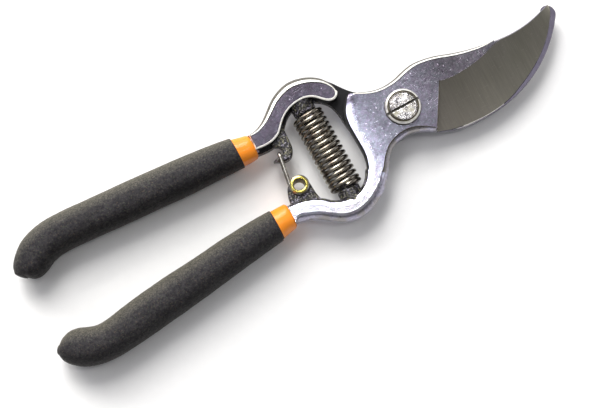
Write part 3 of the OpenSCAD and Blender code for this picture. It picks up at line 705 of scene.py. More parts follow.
def orange_vinyl():
    k = Nodes("orange_vinyl", Metallic=0.0, IOR=1.28, Coat_Weight=0.40, Coat_Roughness=0.05, Subsurface_Weight=0.08, Subsurface_Scale=0.0006)
    k.bsdf.inputs["Subsurface Radius"].default_value = (1.0, 0.35, 0.1)
    n1 = k.noise(160, 3, 0.5)
    col = k.mix(k.ramp(n1, [(0.3, 0.0), (0.7, 1.0)]), (0.82, 0.235, 0.014), (0.89, 0.290, 0.020))
    speck = k.ramp(k.noise(1900, 2, 0.5), [(0.66, 0.0), (0.74, 0.35)])
    col = k.mix(speck, col, (0.55, 0.16, 0.01))
    rough = k.math("MULTIPLY_ADD", k.noise(500, 2, 0.5), 0.16, 0.42)
    n = k.bump(k.noise(170, 2, 0.5), 0.2, 0.00020)
    n = k.bump(k.noise(1400, 2, 0.5), 0.15, 0.00002, n)
    return k.set(Base_Color=col, Roughness=rough, Normal=n)


def foam_vinyl():
    k = Nodes("foam_vinyl", Metallic=0.0, IOR=1.20, Sheen_Weight=0.03, Sheen_Roughness=0.42, Sheen_Tint=(0.95, 0.88, 0.72, 1.0))
    fine = k.noise(2100, 2, 0.6)
    mid = k.noise(900, 3, 0.65)
    big = k.noise(120, 2, 0.5)
    d, c = k.cells(1500)
    col = k.mix(k.ramp(mid, [(0.35, 0.0), (0.68, 1.0)]), (0.0175, 0.0165, 0.0200), (0.043, 0.040, 0.043))
    hue = k.mix(k.ramp(k.noise(1300, 1, 0.5, k.map(loc=(5, 2, 9))), [(0.42, 0.0), (0.58, 1.0)]), (0.085, 0.102, 0.066), (0.118, 0.086, 0.062))
    col = k.mix(k.ramp(fine, [(0.53, 0.0), (0.72, 0.5)]), col, hue)
    col = k.mix(k.ramp(big, [(0.4, 0.0), (0.7, 0.3)]), col, (0.013, 0.0125, 0.014))
    # painted light: the base colour turns lighter on the flank facing the upper left, a painted highlight, and darker
    # on the opposite flank, a painted shade
    side = k.vmath("DOT_PRODUCT", k.t.nodes["Texture Coordinate"].outputs["Normal"], tuple(FLAT_UP * 0.93 - RIGHT * 0.36))
    side = k.math("ADD", side, k.math("MULTIPLY_ADD", mid, 0.30, -0.15))
    col = k.mix(k.ramp(side, [(0.15, 0.0), (0.45, 0.36), (0.80, 0.80), (1.0, 0.95)]), col, k.mix(k.ramp(fine, [(0.38, 0.0), (0.62, 1.0)]), (0.048, 0.048, 0.037), (0.134, 0.123, 0.100)))
    # painted shade: darkens the base colour on the flank that faces away from the light
    col = k.mix(1.0, col, k.ramp(k.math("MULTIPLY_ADD", side, 0.5, 0.5), [(0.05, 0.60), (0.38, 1.0)]), "MULTIPLY")
    rough = k.ramp(mid, [(0.3, 0.66), (0.7, 0.52)])
    h = k.math("ADD", k.math("MULTIPLY", mid, 1.0), k.math("ADD", k.math("MULTIPLY", fine, 0.7), k.math("MULTIPLY", d, 0.5)))
    n = k.bump(h, 0.7, 0.00010)
    return k.set(Base_Color=col, Roughness=rough, Normal=n)


MAT = {
    "pol": steel_polished(),
    "blk": steel_black(),
    "grd": steel_ground(),
    "sld": steel_sliding(),
    "edg": steel_highlight_edge(),
    "lin": painted_shade_line(),
    "und": steel_shaded_flank(),
    "pnt": steel_painted(),
    "dul": dull_edge(),
    "nickel": nickel(),
    "zinc": nickel("zinc"),
    "spring": spring_wire(),
    "latch": spring_wire("latch_steel", (0.66, 0.64, 0.58), (0.22, 0.19, 0.16)),
    "brass": brass(),
    "orange": orange_vinyl(),
    "foam": foam_vinyl(),
}
FORGED = [MAT[k] for k in ("pol", "blk", "grd", "sld", "edg", "lin", "und", "pnt", "dul")]

# ---------------------------------------------------------------- outlines, in mm
# Each kind of edge: how deep its rounding goes, whether it is a shallow crown, and where the black paint starts
KIND = {
    "cut": (0.03, 0.0, 3.0),
    "heel": (0.05, 0.0, 6.0),
    "outer": (2.6, 0.0, 3.0),
    "under": (2.6, 0.0, 4.0),
    "bowl": (2.6, 2.0, 5.0),
    "rim": (2.6, 0.0, -1.5),
    "left": (0.155, 1.0, 0.80),
    "inner": (0.17, 1.0, 0.74),
    "loop": (0.20, 1.0, 0.93),
    "neck": (0.34, 1.0, -0.92),
    "black": (0.9, 0.0, 0.0),
    "web": (1.6, 0.3, 0.0),
}


def edge(kind, pts):
    """Rows of one kind; the depth of a crowned edge follows its width."""
    D, crown, ink = KIND[kind]
    return [[p[0], p[1], p[2], D * p[2] if crown == 1.0 else D, crown, ink] + (["C"] if p[-1] == "C" else []) for p in pts]


# The ground blade: [grind line x, y, cutting edge x, y, spine x, y, rounding of the spine, thickness at the grind line]
S = [
    [15.5, 2.0, 6.5, -12.6, 16.2, 3.3, 0.9, 4.5],
    [17.4, 1.6, 12.4, -14.5, 18.0, 3.0, 0.9, 4.5],
    [20.5, 1.25, 18.4, -15.4, 20.7, 2.8, 0.9, 4.5],
    [24.5, 1.35, 24.4, -15.7, 24.5, 2.9, 0.9, 4.5],
    [29.0, 1.8, 30.0, -15.3, 28.9, 3.4, 0.9, 4.5],
    [33.4, 2.75, 35.0, -14.2, 33.2, 4.6, 0.95, 4.5],
    [37.3, 4.0, 39.6, -12.4, 37.0, 5.93, 1.0, 4.5],
    [40.5, 4.62, 43.3, -10.75, 40.3, 5.44, 0.86, 4.42],
    [44.9, 4.47, 47.5, -8.5, 44.7, 5.2, 0.76, 3.9],
    [49.3, 4.78, 51.7, -5.75, 49.1, 5.38, 0.62, 3.3],
    [53.0, 5.36, 55.3, -2.7, 52.8, 5.86, 0.5, 2.8],
    [56.3, 6.16, 58.4, 0.6, 56.1, 6.58, 0.42, 2.3],
    [58.9, 6.94, 60.7, 3.6, 58.7, 7.3, 0.35, 1.9],
    [60.8, 7.6, 62.1, 5.8, 60.6, 7.9, 0.3, 1.5],
    [62.0, 7.98, 62.6, 7.4, 61.9, 8.2, 0.2, 1.1],
]
ROWS = smooth_rows(S, 9)
grind_line = [[r[0], r[1], 0.16, "C"] for r in ROWS[1:9 * 6 + 2]]

blade_front = (
    edge("heel", [[6.5, -12.6, 0.22, "C"], [15.5, 2, 0.22, "C"]]) + edge("cut", grind_line)
    + edge("rim", [
        [39, 5.66, 0.22, "C"], [37.4, 5.9, 0.6], [35.6, 6.15, 0.95], [30, 7.2, 1.4], [24, 8.9, 1.6], [18.5, 10.8, 1.6], [14, 11.8, 1.6], [10, 12.1, 1.7],
        [6, 11.4, 1.7], [2, 10.3, 1.6], [-2, 9.9, 1.5], [-6, 10.4, 1.4], [-9.5, 11.7, 1.2], [-11.6, 12.6, 1.0]])
    + [[-12.9, 12.95, 1.0, 1.2, 0.5, 0.9], [-13.9, 12.95, 1.1, 0.5, 0.9, 0.85]]
    + edge("left", [
        [-14.9, 12.6, 2.1], [-17, 10.4, 3.2], [-18.7, 7.6, 3.8], [-19.4, 4.5, 3.8], [-19.5, 1, 3.6], [-19.4, -4, 3.5]])
    + edge("inner", [
        [-19.5, -8, 3.4], [-20.3, -11.3, 3.2]])
    + edge("loop", [
        [-21.9, -14.6, 2.7], [-24.5, -17.4, 2.1], [-28.3, -19.05, 2.0], [-32.2, -18.95, 2.0], [-36.0, -17.6, 2.0],
        [-39.3, -15.0, 1.9], [-42.9, -13.15, 1.7], [-46.7, -12.1, 1.5], [-50.2, -11.7, 1.35], [-51.05, -11.65, 0.25, "C"]])
    + edge("bowl", [
        [-51.05, -17.45, 0.25, "C"], [-50.2, -17.55, 2.1], [-46.5, -18.3, 2.5], [-43, -19.9, 2.6], [-39.8, -22.3, 2.8], [-36.4, -24.5, 2.9], [-32.6, -25.7, 3.1],
        [-28.4, -25.7, 3.4], [-24.4, -24.6, 3.5], [-20.6, -22.5, 3.4], [-17.4, -19.9, 2.9]])
    + edge("under", [
        [-14.7, -16.5, 2], [-12, -12.9, 1.8],
        [-9.2, -10.3, 1.7], [-5.8, -9.1, 1.7], [-2, -8.9, 1.7], [1.6, -9.9, 1.5], [6.1, -12.35, 1.0, "C"]])
)
blade_back = (
    edge("inner", [
        [-19.6, -11.6, 0.8], [-20.65, -11.9, 1.3], [-22.42, -14.23, 1.7], [-25, -16.63, 1.7], [-28.5, -17.93, 1.7], [-32, -17.73, 1.7],
        [-35.4, -16.53, 1.7], [-38.6, -13.93, 1.6], [-42.5, -12.03, 1.6], [-46.5, -10.93, 1.5], [-51.38, -10.43, 1.5, "C"]])
    + edge("outer", [
        [-51.38, -17.37, 1, "C"], [-46.5, -18.27, 1.2], [-43, -19.87, 1.5], [-39.8, -22.27, 1.9], [-36.4, -24.47, 2.1], [-32.6, -25.67, 2.1],
        [-28.4, -25.67, 2.1], [-24.4, -24.57, 2.1], [-20.6, -22.47, 2.1], [-17.42, -19.87, 2], [-15.6, -17.6, 1.6], [-15.2, -15.8, 1],
        [-16.2, -14.3, 0.8], [-18, -12.7, 0.7]])
)
hook_back = (
    edge("black", [[-19.4, 4.2, 0.8], [-17.8, -0.5, 0.9], [-14.8, -5, 0.9], [-11, -7.8, 0.9], [-6.5, -8.7, 0.9]])
    + edge("outer", [
        [-1.5, -8.6, 0.9], [3, -9.8, 0.9], [8, -12.8, 1], [12.5, -14.7, 1.2], [18, -15.7, 1.4], [24, -16, 1.5], [30, -15.7, 1.5],
        [36, -14.6, 1.5], [42, -12.7, 1.5], [47.4, -10.2, 1.5], [52.8, -6.7, 1.5], [57.7, -2.4, 1.5], [61.5, 1.8, 1.5], [63.5, 5, 1.4],
        [63.1, 7.1, 1.2], [61.5, 8.4, 1], [59.6, 8.2, 0.8], [58.4, 6.4, 0.7], [56.2, 3.6, 0.7], [52.2, 0.3, 0.7], [47, -2.7, 0.7],
        [41, -4.8, 0.7], [35, -6, 0.7], [29, -6.2, 0.7], [23.5, -5.3, 0.7], [18.6, -3, 0.7], [15, 0.6, 0.7], [12.2, 4.8, 0.8],
        [8.6, 8, 0.9], [4, 9.3, 0.9], [-1, 8.9, 0.9]])
    + edge("black", [[-5.5, 9.8, 0.9], [-9.3, 11.8, 0.9], [-12.4, 14.3, 1]])
    + edge("outer", [
        [-14.6, 17, 1.2], [-16.62, 19.87, 1.8], [-19.42, 22.77, 2.1], [-22.8, 24.97, 2.2], [-26.6, 26.37, 2.3], [-30.6, 26.77, 2.3],
        [-34.4, 25.87, 2.2], [-38, 24.07, 2], [-41.4, 21.37, 1.8], [-44.6, 18.87, 1.5], [-47.8, 17.37, 1.2], [-51.38, 16.87, 1, "C"]])
    + edge("black", [
        [-51.38, 9.93, 1.5, "C"], [-47.2, 9.53, 2], [-43.6, 9.93, 2], [-40.4, 11.63, 1.6], [-38.6, 13.63, 1.2], [-36.6, 15.83, 1],
        [-34, 17.53, 1], [-30.8, 18.33, 1], [-27.6, 18.13, 1], [-24.8, 16.93, 1], [-22.4, 15.2, 0.9], [-20.7, 12.8, 0.8],
        [-19.9, 10.2, 0.8], [-19.6, 7.2, 0.8]])
)
hook_front = (
    edge("rim", [
        [-16.8, 16.8, 0.9], [-17.5, 19.6, 1.5], [-19.6, 22.7, 2.2], [-22.8, 25, 2.6], [-26.6, 26.4, 2.8], [-30.6, 26.8, 2.8],
        [-34.4, 25.9, 2.7], [-38, 24.1, 2.5], [-41.4, 21.4, 2.2], [-44.6, 18.9, 1.8], [-47.8, 17.4, 1.4], [-51.05, 16.95, 0.9, "C"]])
    + edge("neck", [
        [-51.05, 11.1, 0.62, "C"], [-47.2, 10.7, 0.66], [-43.95, 11.05, 0.66], [-41.1, 12.5, 0.6], [-39.4, 14.3, 0.56], [-37.2, 16.4, 0.54],
        [-34.3, 18.1, 0.54], [-30.9, 18.9, 0.56], [-27.7, 18.8, 0.62], [-25.1, 17.7, 0.68], [-23.1, 15.8, 0.72], [-21.3, 14.2, 0.78],
        [-19.4, 13.6, 0.8], [-17.9, 14.1, 0.8], [-17, 15.3, 0.8]])
)
lug = edge("web", [
    [-38.4, 16.0, 0.3, "C"], [-41.3, 14.4, 0.3, "C"], [-45.3, 12.2, 0.3, "C"], [-44.6, 9.3, 0.3], [-43.5, 8.7, 0.3], [-42.9, 7.6, 0.3],
    [-43.1, 6.3, 0.3], [-44, 5.68, 0.2], [-45.6, 5.52, 0.2], [-47.4, 5.05, 0.15, "C"], [-46.1, 4.2, 0.4], [-44.6, 3.35, 0.5],
    [-43, 3.1, 0.6], [-41.5, 3.4, 0.7], [-40.3, 4.5, 0.7], [-39.5, 6.2, 0.7], [-39.2, 8.6, 0.7], [-39.1, 11, 0.5]])
tab = edge("web", [
    [-41.2, -4.1, 0.5], [-43.7, -3.1, 0.5], [-46.1, -4, 0.5], [-47.6, -5.3, 0.6], [-48.5, -7, 0.6], [-49.1, -9.2, 0.6],
    [-49.6, -13.6, 0.5, "C"], [-38.2, -16.9, 0.5, "C"], [-39.4, -13.4, 0.7], [-39.9, -11, 0.7], [-40, -8.5, 0.6], [-40.3, -6, 0.6]])

LUG_LO, LUG_HI = SHEAR - 2.4, SHEAR + 2.4


def both_faces(name, P, z_lo, z_hi):
    """A web with rounded edges on both faces, all black."""
    Q = smooth(P, 5.0)
    nrm, base = inward(Q), Q[:, :2]
    w = Q[:, 2] * 1.25
    rings = []
    steps = [(0.0, 1.0), (0.12, 0.62), (0.35, 0.28), (0.7, 0.06), (1.1, 0.0)]
    for dz, s in steps:
        rings.append(np.column_stack([relax(base + nrm * (w * s)[:, None], base, w), np.full(len(Q), z_lo + dz)]))
    for dz, s in reversed(steps):
        rings.append(np.column_stack([relax(base + nrm * (w * s)[:, None], base, w), np.full(len(Q), z_hi - dz)]))
    v, f, idx = stack(rings, FORGED, BLK, BLK, lambda k, i: BLK)
    return mesh_object(name, v, f, FORGED, idx, 1.0)


def skin_rings(name, rings, mats, strip=None, cap=0, scale=1.0):
    v, f, idx = stack([np.asarray(r, float) for r in rings], mats, cap, cap, strip)
    o = mesh_object(name, v, f, mats, idx, scale)
    outward(o)
    return o


# ---------------------------------------------------------------- the ground blade
def blade_skin():
    NV, NR = 15, 7
    rings = []
    kinds = None
    for r in ROWS:
        g, b, c = np.array(r[0:2]), np.array(r[2:4]), np.array(r[4:6])
        w, t = r[6], r[7]
        u = (g - b) / np.linalg.norm(g - b)
        z0 = SHEAR + 0.04
        zg = SHEAR + t - 0.004
        zb = z0 + 0.14
        width = np.linalg.norm(g - b)
        hollow = 0.20 * min(1.0, width / 14)
        face = c - u * w  # where the spine's rounding starts
        if np.dot(face - g, u) < 0:
            face = g + u * 0.002
        D = min(2.6, 0.72 * t)
        ring, kinds = [], []
        ring.append((b[0], b[1], z0))
        kinds.append("edge")
        ring.append((b[0] + u[0] * 0.24, b[1] + u[1] * 0.24, zb))
        for j in range(1, NV + 1):
            f = j / NV
            p = b + u * 0.24 + (g - b - u * 0.24) * f
            ring.append((p[0], p[1], zb + (zg - zb) * f - hollow * 4 * f * (1 - f)))
        ring.append((face[0], face[1], zg - 0.0))
        for j in range(1, NR + 1):
            s, z = profile(j / NR, 0.0)
            p = c - u * w * s
            ring.append((p[0], p[1], zg - D * z))
        ring.append((c[0], c[1], z0))
        rings.append(np.array(ring))
    n = len(rings[0])

    def strip(k, i):
        if i == 0:
            # painted glint: the cutting edge takes the near-white edge material only between x 15.5 and 31.5 mm
            return EDG if 15.5 < ROWS[k][2] < 31.5 else POL
        if i <= NV + 0:
            return GRD
        if i == n - 1:
            return SLD
        return POL

    return skin_rings("blade_skin", rings, FORGED, strip, GRD)


# ---------------------------------------------------------------- tangs, bosses


def oval(s, n, p, flip):
    c = ((s[0] + s[2]) / 2, (s[1] + s[3]) / 2)
    h = ((s[0] - s[2]) / 2, (s[1] - s[3]) / 2)
    t = 2 * np.pi * np.arange(n) / n
    x, y = np.cos(t), np.sin(t)
    X, Y = np.sign(x) * np.abs(x) ** (2 / p), np.sign(y) * np.abs(y) ** (2 / p)
    return np.column_stack([c[0] + h[0] * X, c[1] + h[1] * X, SHEAR + flip * s[4] * Y])


def shrink(s, d):
    o, i = np.array(s[0:2]), np.array(s[2:4])
    u = (o - i) / max(np.linalg.norm(o - i), 1e-9)
    return np.array([*(o - u * d), *(i + u * d), s[4] - d])


def tang_row(s, w, t):
    o, i = np.array(s[0:2]), np.array(s[2:4])
    u = (o - i) / np.linalg.norm(o - i)
    c = (o + i) / 2
    return np.array([*(c + u * w), *(c - u * w), t])


G = 8.0
upper_rows = [
    [-56.9, 19.5, -56.8, 8.4, 6.3], [-62, 20.3, -62, 8.5, 6.9], [-68.5, 21.1, -68.5, 8.7, G - 0.6], [-77, 21.9, -76.8, 8.9, G - 0.2],
    [-88, 22.8, -87.5, 9.6, G], [-100, 23.6, -99, 10.3, G], [-111, 24.3, -110, 11.1, G], [-119.5, 24.8, -118.5, 11.7, G],
    [-126, 24.7, -125, 11.7, G], [-131.2, 23.7, -128.6, 10.9, G - 0.1], [-135.6, 21.9, -131.4, 9.5, G - 0.4],
    [-139.2, 19, -134.4, 8.5, G - 1], [-141.6, 16, -137, 8.7, G - 2.2], [-142.4, 13.6, -139, 10.2, G - 4]]
lower_rows = [
    [-57.2, -20.1, -56.9, -9, 6.3], [-62.5, -20.8, -62.5, -9, 6.9], [-69, -21.6, -69.4, -9.4, G - 0.6], [-76.6, -22.7, -77.2, -10, G - 0.2],
    [-86, -24, -87, -11, G], [-97, -25.5, -98.4, -11.9, G], [-107, -26.6, -108.6, -13, G], [-114.5, -27.5, -116.4, -14.2, G],
    [-120.6, -28, -121.6, -15.1, G], [-126, -28.1, -125.4, -15.3, G], [-131, -27.5, -128.6, -14.5, G - 0.1],
    [-135.4, -26.1, -131.6, -13.2, G - 0.4], [-139, -23.6, -134.8, -12.7, G - 1], [-141.3, -20.8, -137.8, -13.5, G - 2.2],
    [-142, -18, -140, -15.2, G - 4]]
collar_upper = [[-50.95, 17.2, -50.95, 9.4, 4.9], [-51.6, 17.7, -51.6, 8.9, 5.3], [-53.4, 18.1, -53.4, 8.7, 5.6], [-56.7, 18.9, -56.7, 8.8, 5.9]]
collar_lower = [[-50.95, -18, -50.95, -9.9, 4.9], [-51.6, -18.5, -51.6, -9.4, 5.3], [-53.4, -18.8, -53.4, -9.3, 5.6], [-56.7, -19.6, -56.7, -9.4, 5.9]]


def tang_rows(rows, stub, d):
    return [tang_row(stub, 3.1 + d, 4.1 + d)] + [tang_row(rows[i], 3.4 - 0.8 * i / 8 + d, 4.3 - 0.8 * i / 8 + d) for i in range(1, 9)]


upper_stub, lower_stub = [-50, 16.4, -50, 10.4, 4], [-50, -17, -50, -11, 4]


def boss(y0, y1, y_peg, sign):
    """Spring boss and peg along Y, from the face at y0 into the forging at y1."""
    L, Lp = abs(y1 - y0), abs(y0 - y_peg)
    rz = [(0, -Lp), (2.0, -Lp), (2.5, -Lp + 0.35), (2.72, -Lp + 0.9), (3.1, -0.35), (3.3, 0.0), (3.55, 0.0), (3.85, 0.12), (4.0, 0.45), (4.12, L * 0.5), (4.4, L), (0, L)]
    o = lathe("boss", rz, 56, FORGED, lambda a: BLK, "Y" if sign > 0 else "-Y", (-29.6, y0, SHEAR), 1.0)
    outward(o)
    return o


def bore(r):
    o = lathe("bore", [(0, -1), (r, -1), (r, 20), (0, 20)], 96, FORGED, lambda a: SLD, "Z", (0, 0, 0), 1.0)
    outward(o)
    return o


def make_blade_arm():
    body = plate("blade_body", blade_front, SHEAR + 0.04, TOP, POL, SLD, "top", FORGED)
    parts = [
        plate("blade_back", blade_back, BACK, SHEAR + 0.5, BLK, POL, "bottom", FORGED),
        blade_skin(),
        both_faces("tab", tab, LUG_LO, LUG_HI),
        boss(-15, -20.1, -11.4, -1),
        skin_rings("tang", [oval(s, 24, 3.2, 1) for s in smooth_rows(tang_rows(lower_rows, lower_stub, 0), 2)], FORGED, lambda k, i: POL, POL),
    ]
    for p in [body] + parts:
        outward(p)
    o = combine("blade_arm_forging", body, parts)
    hole = lathe("eye", [(0, 0), (2.27, 0), (2.27, 16), (0, 16)], 64, FORGED, lambda a: BLK, "Z", (-43.7, -6.4, 0), 1.0)
    outward(hole)
    combine(o.name, o, [bore(4.05), hole], "DIFFERENCE")
    return finish_shape(o)


def make_hook_arm():
    body = plate("hook_body", hook_back, BACK, SHEAR - 0.04, SLD, POL, "bottom", FORGED)
    parts = [
        plate("hook_front", hook_front, SHEAR - 0.5, TOP, POL, BLK, "top", FORGED),
        both_faces("lug", lug, LUG_LO, LUG_HI),
        boss(14.7, 20.2, 11.1, 1),
        skin_rings("tang", [oval(s, 24, 3.2, -1) for s in smooth_rows(tang_rows(upper_rows, upper_stub, 0), 2)], FORGED, lambda k, i: POL, POL),
    ]
    for p in [body] + parts:
        outward(p)
    o = combine("hook_arm_forging", body, parts)
    combine(o.name, o, [bore(4.02)], "DIFFERENCE")
    return finish_shape(o)


blade = make_blade_arm()
hook = make_hook_arm()
print("forgings", len(blade.data.polygons), len(hook.data.polygons))

# ---------------------------------------------------------------- pivot bolt, washer, nut
H = 14.9


def make_bolt():
    rz = [(0, 0.0), (3.35, 0.0), (3.5, 0.02), (3.95, 0.45), (4.0, 0.6), (4.0, 12.45), (4.0, 12.56), (6.26, 12.56), (6.30, 12.58), (6.14, 12.66),
          (6.1, 12.9), (6.1, 13.85), (6.07, 14.0), (5.98, 14.15), (5.78, 14.36), (5.58, 14.52), (5.46, 14.58), (5.44, 14.56), (5.40, 14.34), (5.20, 14.28),
          (4.96, 14.36), (4.88, 14.62), (4.84, 14.73), (4.78, 14.77), (4.72, 14.74), (4.66, 14.64), (4.58, 14.64), (4.52, 14.75), (4.44, 14.80),
          (3.4, 14.85), (2.0, H - 0.01), (1.0, H), (0, H)]
    # painted shade: dark rings round the foot of the head and in its grooves; painted highlight: the near-white chamfer
    dark = [i for i, (a, b) in enumerate(zip(rz, rz[1:])) if 12.5 < (a[1] + b[1]) / 2 < 13.3 or (4.86 < (a[0] + b[0]) / 2 < 5.44 and a[1] > 14) or (4.60 < (a[0] + b[0]) / 2 < 4.70 and a[1] > 14)]
    rim = [i for i, (a, b) in enumerate(zip(rz, rz[1:])) if 5.45 < (a[0] + b[0]) / 2 < 6.05 and a[1] > 13.9]
    o = lathe("pivot_bolt_head", rz, 128, [MAT["nickel"], MAT["lin"], MAT["edg"], MAT["dul"]], lambda a: 1 if a in dark else 2 if a in rim else 0, "Z", (0, 0, 0), 1.0)
    outward(o)
    # the slot, with its walls leaning out a little
    v = [(-8, -0.40, H - 1.1), (8, -0.40, H - 1.1), (8, 0.40, H - 1.1), (-8, 0.40, H - 1.1), (-8, -0.46, H + 1), (8, -0.46, H + 1), (8, 0.46, H + 1), (-8, 0.46, H + 1)]
    f = [(0, 3, 2, 1), (4, 5, 6, 7), (0, 1, 5, 4), (1, 2, 6, 5), (2, 3, 7, 6), (3, 0, 4, 7)]
    s = mesh_object("slot", v, f, [MAT["nickel"], MAT["lin"], MAT["edg"], MAT["dul"]], [3] * 6, 1.0)
    outward(s)
    combine(o.name, o, [s], "DIFFERENCE")
    bm = bmesh.new()
    bm.from_mesh(o.data)
    rim = [e for e in bm.edges if len(e.link_faces) == 2 and e.calc_face_angle(0) > math.radians(60) and all(v.co.z > 13.2 and abs(abs(v.co.y) - 0.43) < 0.06 for v in e.verts)]
    if rim:
        bmesh.ops.bevel(bm, geom=rim, offset=0.05, segments=2, affect="EDGES", profile=0.5)
    bm.to_mesh(o.data)
    bm.free()
    return finish_shape(o, 24.0, MM, ())


bolt = make_bolt()


def hexagon_nut():
    """Nut with turned chamfers on its corners."""
    r_in, af, z1 = 4.02, 12.0, 2.86
    R = af / 2 / math.cos(math.radians(30))
    n = 96
    rings = []

    def hex_r(a):
        return af / 2 / math.cos((a + math.pi / 6) % (math.pi / 3) - math.pi / 6)

    # from inside bottom, up the outside, to the inside top
    levels = [("in", 0.0), ("cham", 0.0), ("cut", 0.22), ("cut", 0.5), ("full", 1.1), ("full", z1 - 0.55), ("cut2", z1 - 0.3), ("cham2", z1), ("in2", z1)]
    for kind, z in levels:
        ring = []
        for i in range(n):
            a = 2 * math.pi * i / n
            hr = hex_r(a)
            if kind in ("in", "in2"):
                r = r_in
            elif kind in ("cham", "cham2"):
                r = min(hr, af / 2 - 0.12)
            elif kind == "cut":
                r = min(hr, af / 2 - 0.12 + z * 1.7)
            elif kind == "cut2":
                r = min(hr, af / 2 - 0.12 + (z1 - z) * 1.7)
            else:
                r = hr
            ring.append((r * math.cos(a), r * math.sin(a), z))
        rings.append(ring)
    verts = [p for r in rings for p in r]
    faces = []
    m = len(rings)
    for k in range(m):
        kk = (k + 1) % m
        for i in range(n):
            j = (i + 1) % n
            faces.append((k * n + i, k * n + j, kk * n + j, kk * n + i))
    o = mesh_object("pivot_nut_hex", verts, faces, [MAT["zinc"]], None, MM)
    outward(o)
    return smooth_all(o, 25)


nut = hexagon_nut()


def make_washer():
    z0, z1 = 2.88, 3.48
    rz = [(4.15, z0), (6.45, z0), (6.58, z0 + 0.1), (6.6, z0 + 0.2), (6.6, z1 - 0.2), (6.56, z1 - 0.08), (6.45, z1), (4.15, z1), (4.1, z1 - 0.06), (4.1, z0 + 0.06)]
    o = lathe("pivot_washer_ring", rz, 96, [MAT["zinc"]], None, "Z", (0, 0, 0), MM, closed=True)
    outward(o)
    return smooth_all(o, 35)


washer = make_washer()

# ---------------------------------------------------------------- latch eyelet and wire
EYE = np.array([-43.7, -6.4])
BARREL, RING_R, LATCH_D = 2.25, 2.9, 1.2
LEG_Z = 2.4 + 0.1 + LATCH_D / 2


def make_eyelet():
    h = LEG_Z + LATCH_D / 2 + 0.1
    half = [(1.95, 0.0), (1.95, h - 0.35), (1.955, h - 0.05), (1.99, h + 0.2), (2.07, h + 0.38), (2.2, h + 0.53), (2.36, h + 0.6), (2.55, h + 0.6),
            (2.74, h + 0.56), (2.92, h + 0.44), (3.04, h + 0.28), (3.1, h + 0.1), (3.08, h + 0.0), (2.98, h - 0.06), (2.6, h - 0.04), (2.32, h), (2.25, h - 0.08), (2.25, 0.0)]
    up = [(r, z) for r, z in half]
    down = [(r, -z) for r, z in reversed(half[1:-1])]
    o = lathe("latch_eyelet_rolled", up + down, 96, [MAT["brass"]], None, "Z", (EYE[0], EYE[1], SHEAR), MM, closed=True)
    outward(o)
    return smooth_all(o, 50)


eyelet = make_eyelet()

BAR = np.array([-44.5, 6.4])
BEND = 1.1
reach = np.linalg.norm(BAR - EYE)
bar_a = math.atan2(BAR[1] - EYE[1], BAR[0] - EYE[0])
touch_a = bar_a + math.acos(RING_R / reach)
touch = EYE + RING_R * np.array([math.cos(touch_a), math.sin(touch_a)])
leg_u = (BAR - touch) / np.linalg.norm(BAR - touch)


def tube(name, path, radius, n, mats, side=None, ends=True, scale=MM):
    """Round bar along a path, carried along without twist, with domed ends."""
    P = np.array(path, float)
    T = np.gradient(P, axis=0)
    T /= np.linalg.norm(T, axis=1)[:, None]
    q = np.cross(T[0], [0.3, 0.2, 1.0])
    q /= np.linalg.norm(q)
    rings = []
    a = 2 * np.pi * np.arange(n) / n
    frames = []
    for i in range(len(P)):
        q = q - T[i] * (q @ T[i])
        q /= np.linalg.norm(q)
        frames.append((q, np.cross(T[i], q)))
    rad = np.full(len(P), radius)
    if ends:
        dome = [(math.sin(b), math.cos(b)) for b in np.radians([12, 30, 50, 70])]
        pre = [(P[0] - T[0] * radius * 0.5 * (1 - 0) * c, s) for s, c in dome]
        post = [(P[-1] + T[-1] * radius * 0.5 * c, s) for s, c in reversed(dome)]
        for p, s in pre:
            rings.append(p + radius * s * (np.cos(a)[:, None] * frames[0][0] + np.sin(a)[:, None] * frames[0][1]))
    for i in range(len(P)):
        rings.append(P[i] + rad[i] * (np.cos(a)[:, None] * frames[i][0] + np.sin(a)[:, None] * frames[i][1]))
    if ends:
        for p, s in post:
            rings.append(p + radius * s * (np.cos(a)[:, None] * frames[-1][0] + np.sin(a)[:, None] * frames[-1][1]))
    v, f, idx = stack(rings, mats, 0, 0, None)
    o = mesh_object(name, v, f, mats, idx, scale)
    outward(o)
    return smooth_all(o, 60)


def latch_path():
    half = []
    for a in np.arange(300, 2, -5.0):
        t = touch_a + math.radians(a)
        half.append((EYE[0] + RING_R * math.cos(t), EYE[1] + RING_R * math.sin(t), SHEAR + LEG_Z))
    stop = BAR - leg_u * BEND
    for t in np.linspace(0, 1, 14):
        p = touch + (stop - touch) * t
        half.append((p[0], p[1], SHEAR + LEG_Z))
    for a in np.radians(np.arange(10, 91, 10.0)):
        p = BAR - leg_u * BEND * (1 - math.sin(a))
        half.append((p[0], p[1], SHEAR + LEG_Z - BEND * (1 - math.cos(a))))
    back = [(p[0], p[1], 2 * SHEAR - p[2]) for p in reversed(half)]
    mid = [(BAR[0], BAR[1], SHEAR + z) for z in (1.2, 0.4, -0.4, -1.2)]
    return half + mid + back


latch = tube("latch_wire_bent", latch_path(), LATCH_D / 2, 20, [MAT["latch"]])

# ---------------------------------------------------------------- return spring
WIRE, OD, TURNS = 1.25, 11.4, 15.5
s_lo, s_hi = -15 + 0.1 + WIRE / 2, 14.7 - 0.1 - WIRE / 2
dead = WIRE * 1.04
pitch = (s_hi - s_lo - 2 * dead) / (TURNS - 2)


def coil_y(u):
    if u < 1:
        return s_lo + dead * u
    if u > TURNS - 1:
        return s_hi - dead * (TURNS - u)
    return s_lo + dead + pitch * (u - 1)


def spring_path():
    R = (OD - WIRE) / 2
    out = []
    steps = 44
    y = [coil_y(k / steps) for k in range(int(TURNS * steps) + 1)]
    y = np.convolve(np.pad(y, 9, mode="reflect", reflect_type="odd"), np.ones(19) / 19, "valid")
    for k in range(int(TURNS * steps) + 1):
        t = 2 * math.pi * k / steps
        out.append((-29.6 + R * math.sin(t), y[k], SHEAR + R * math.cos(t)))
    return out


spring = tube("return_spring_coil", spring_path(), WIRE / 2, 18, [MAT["spring"]])

# ---------------------------------------------------------------- handles


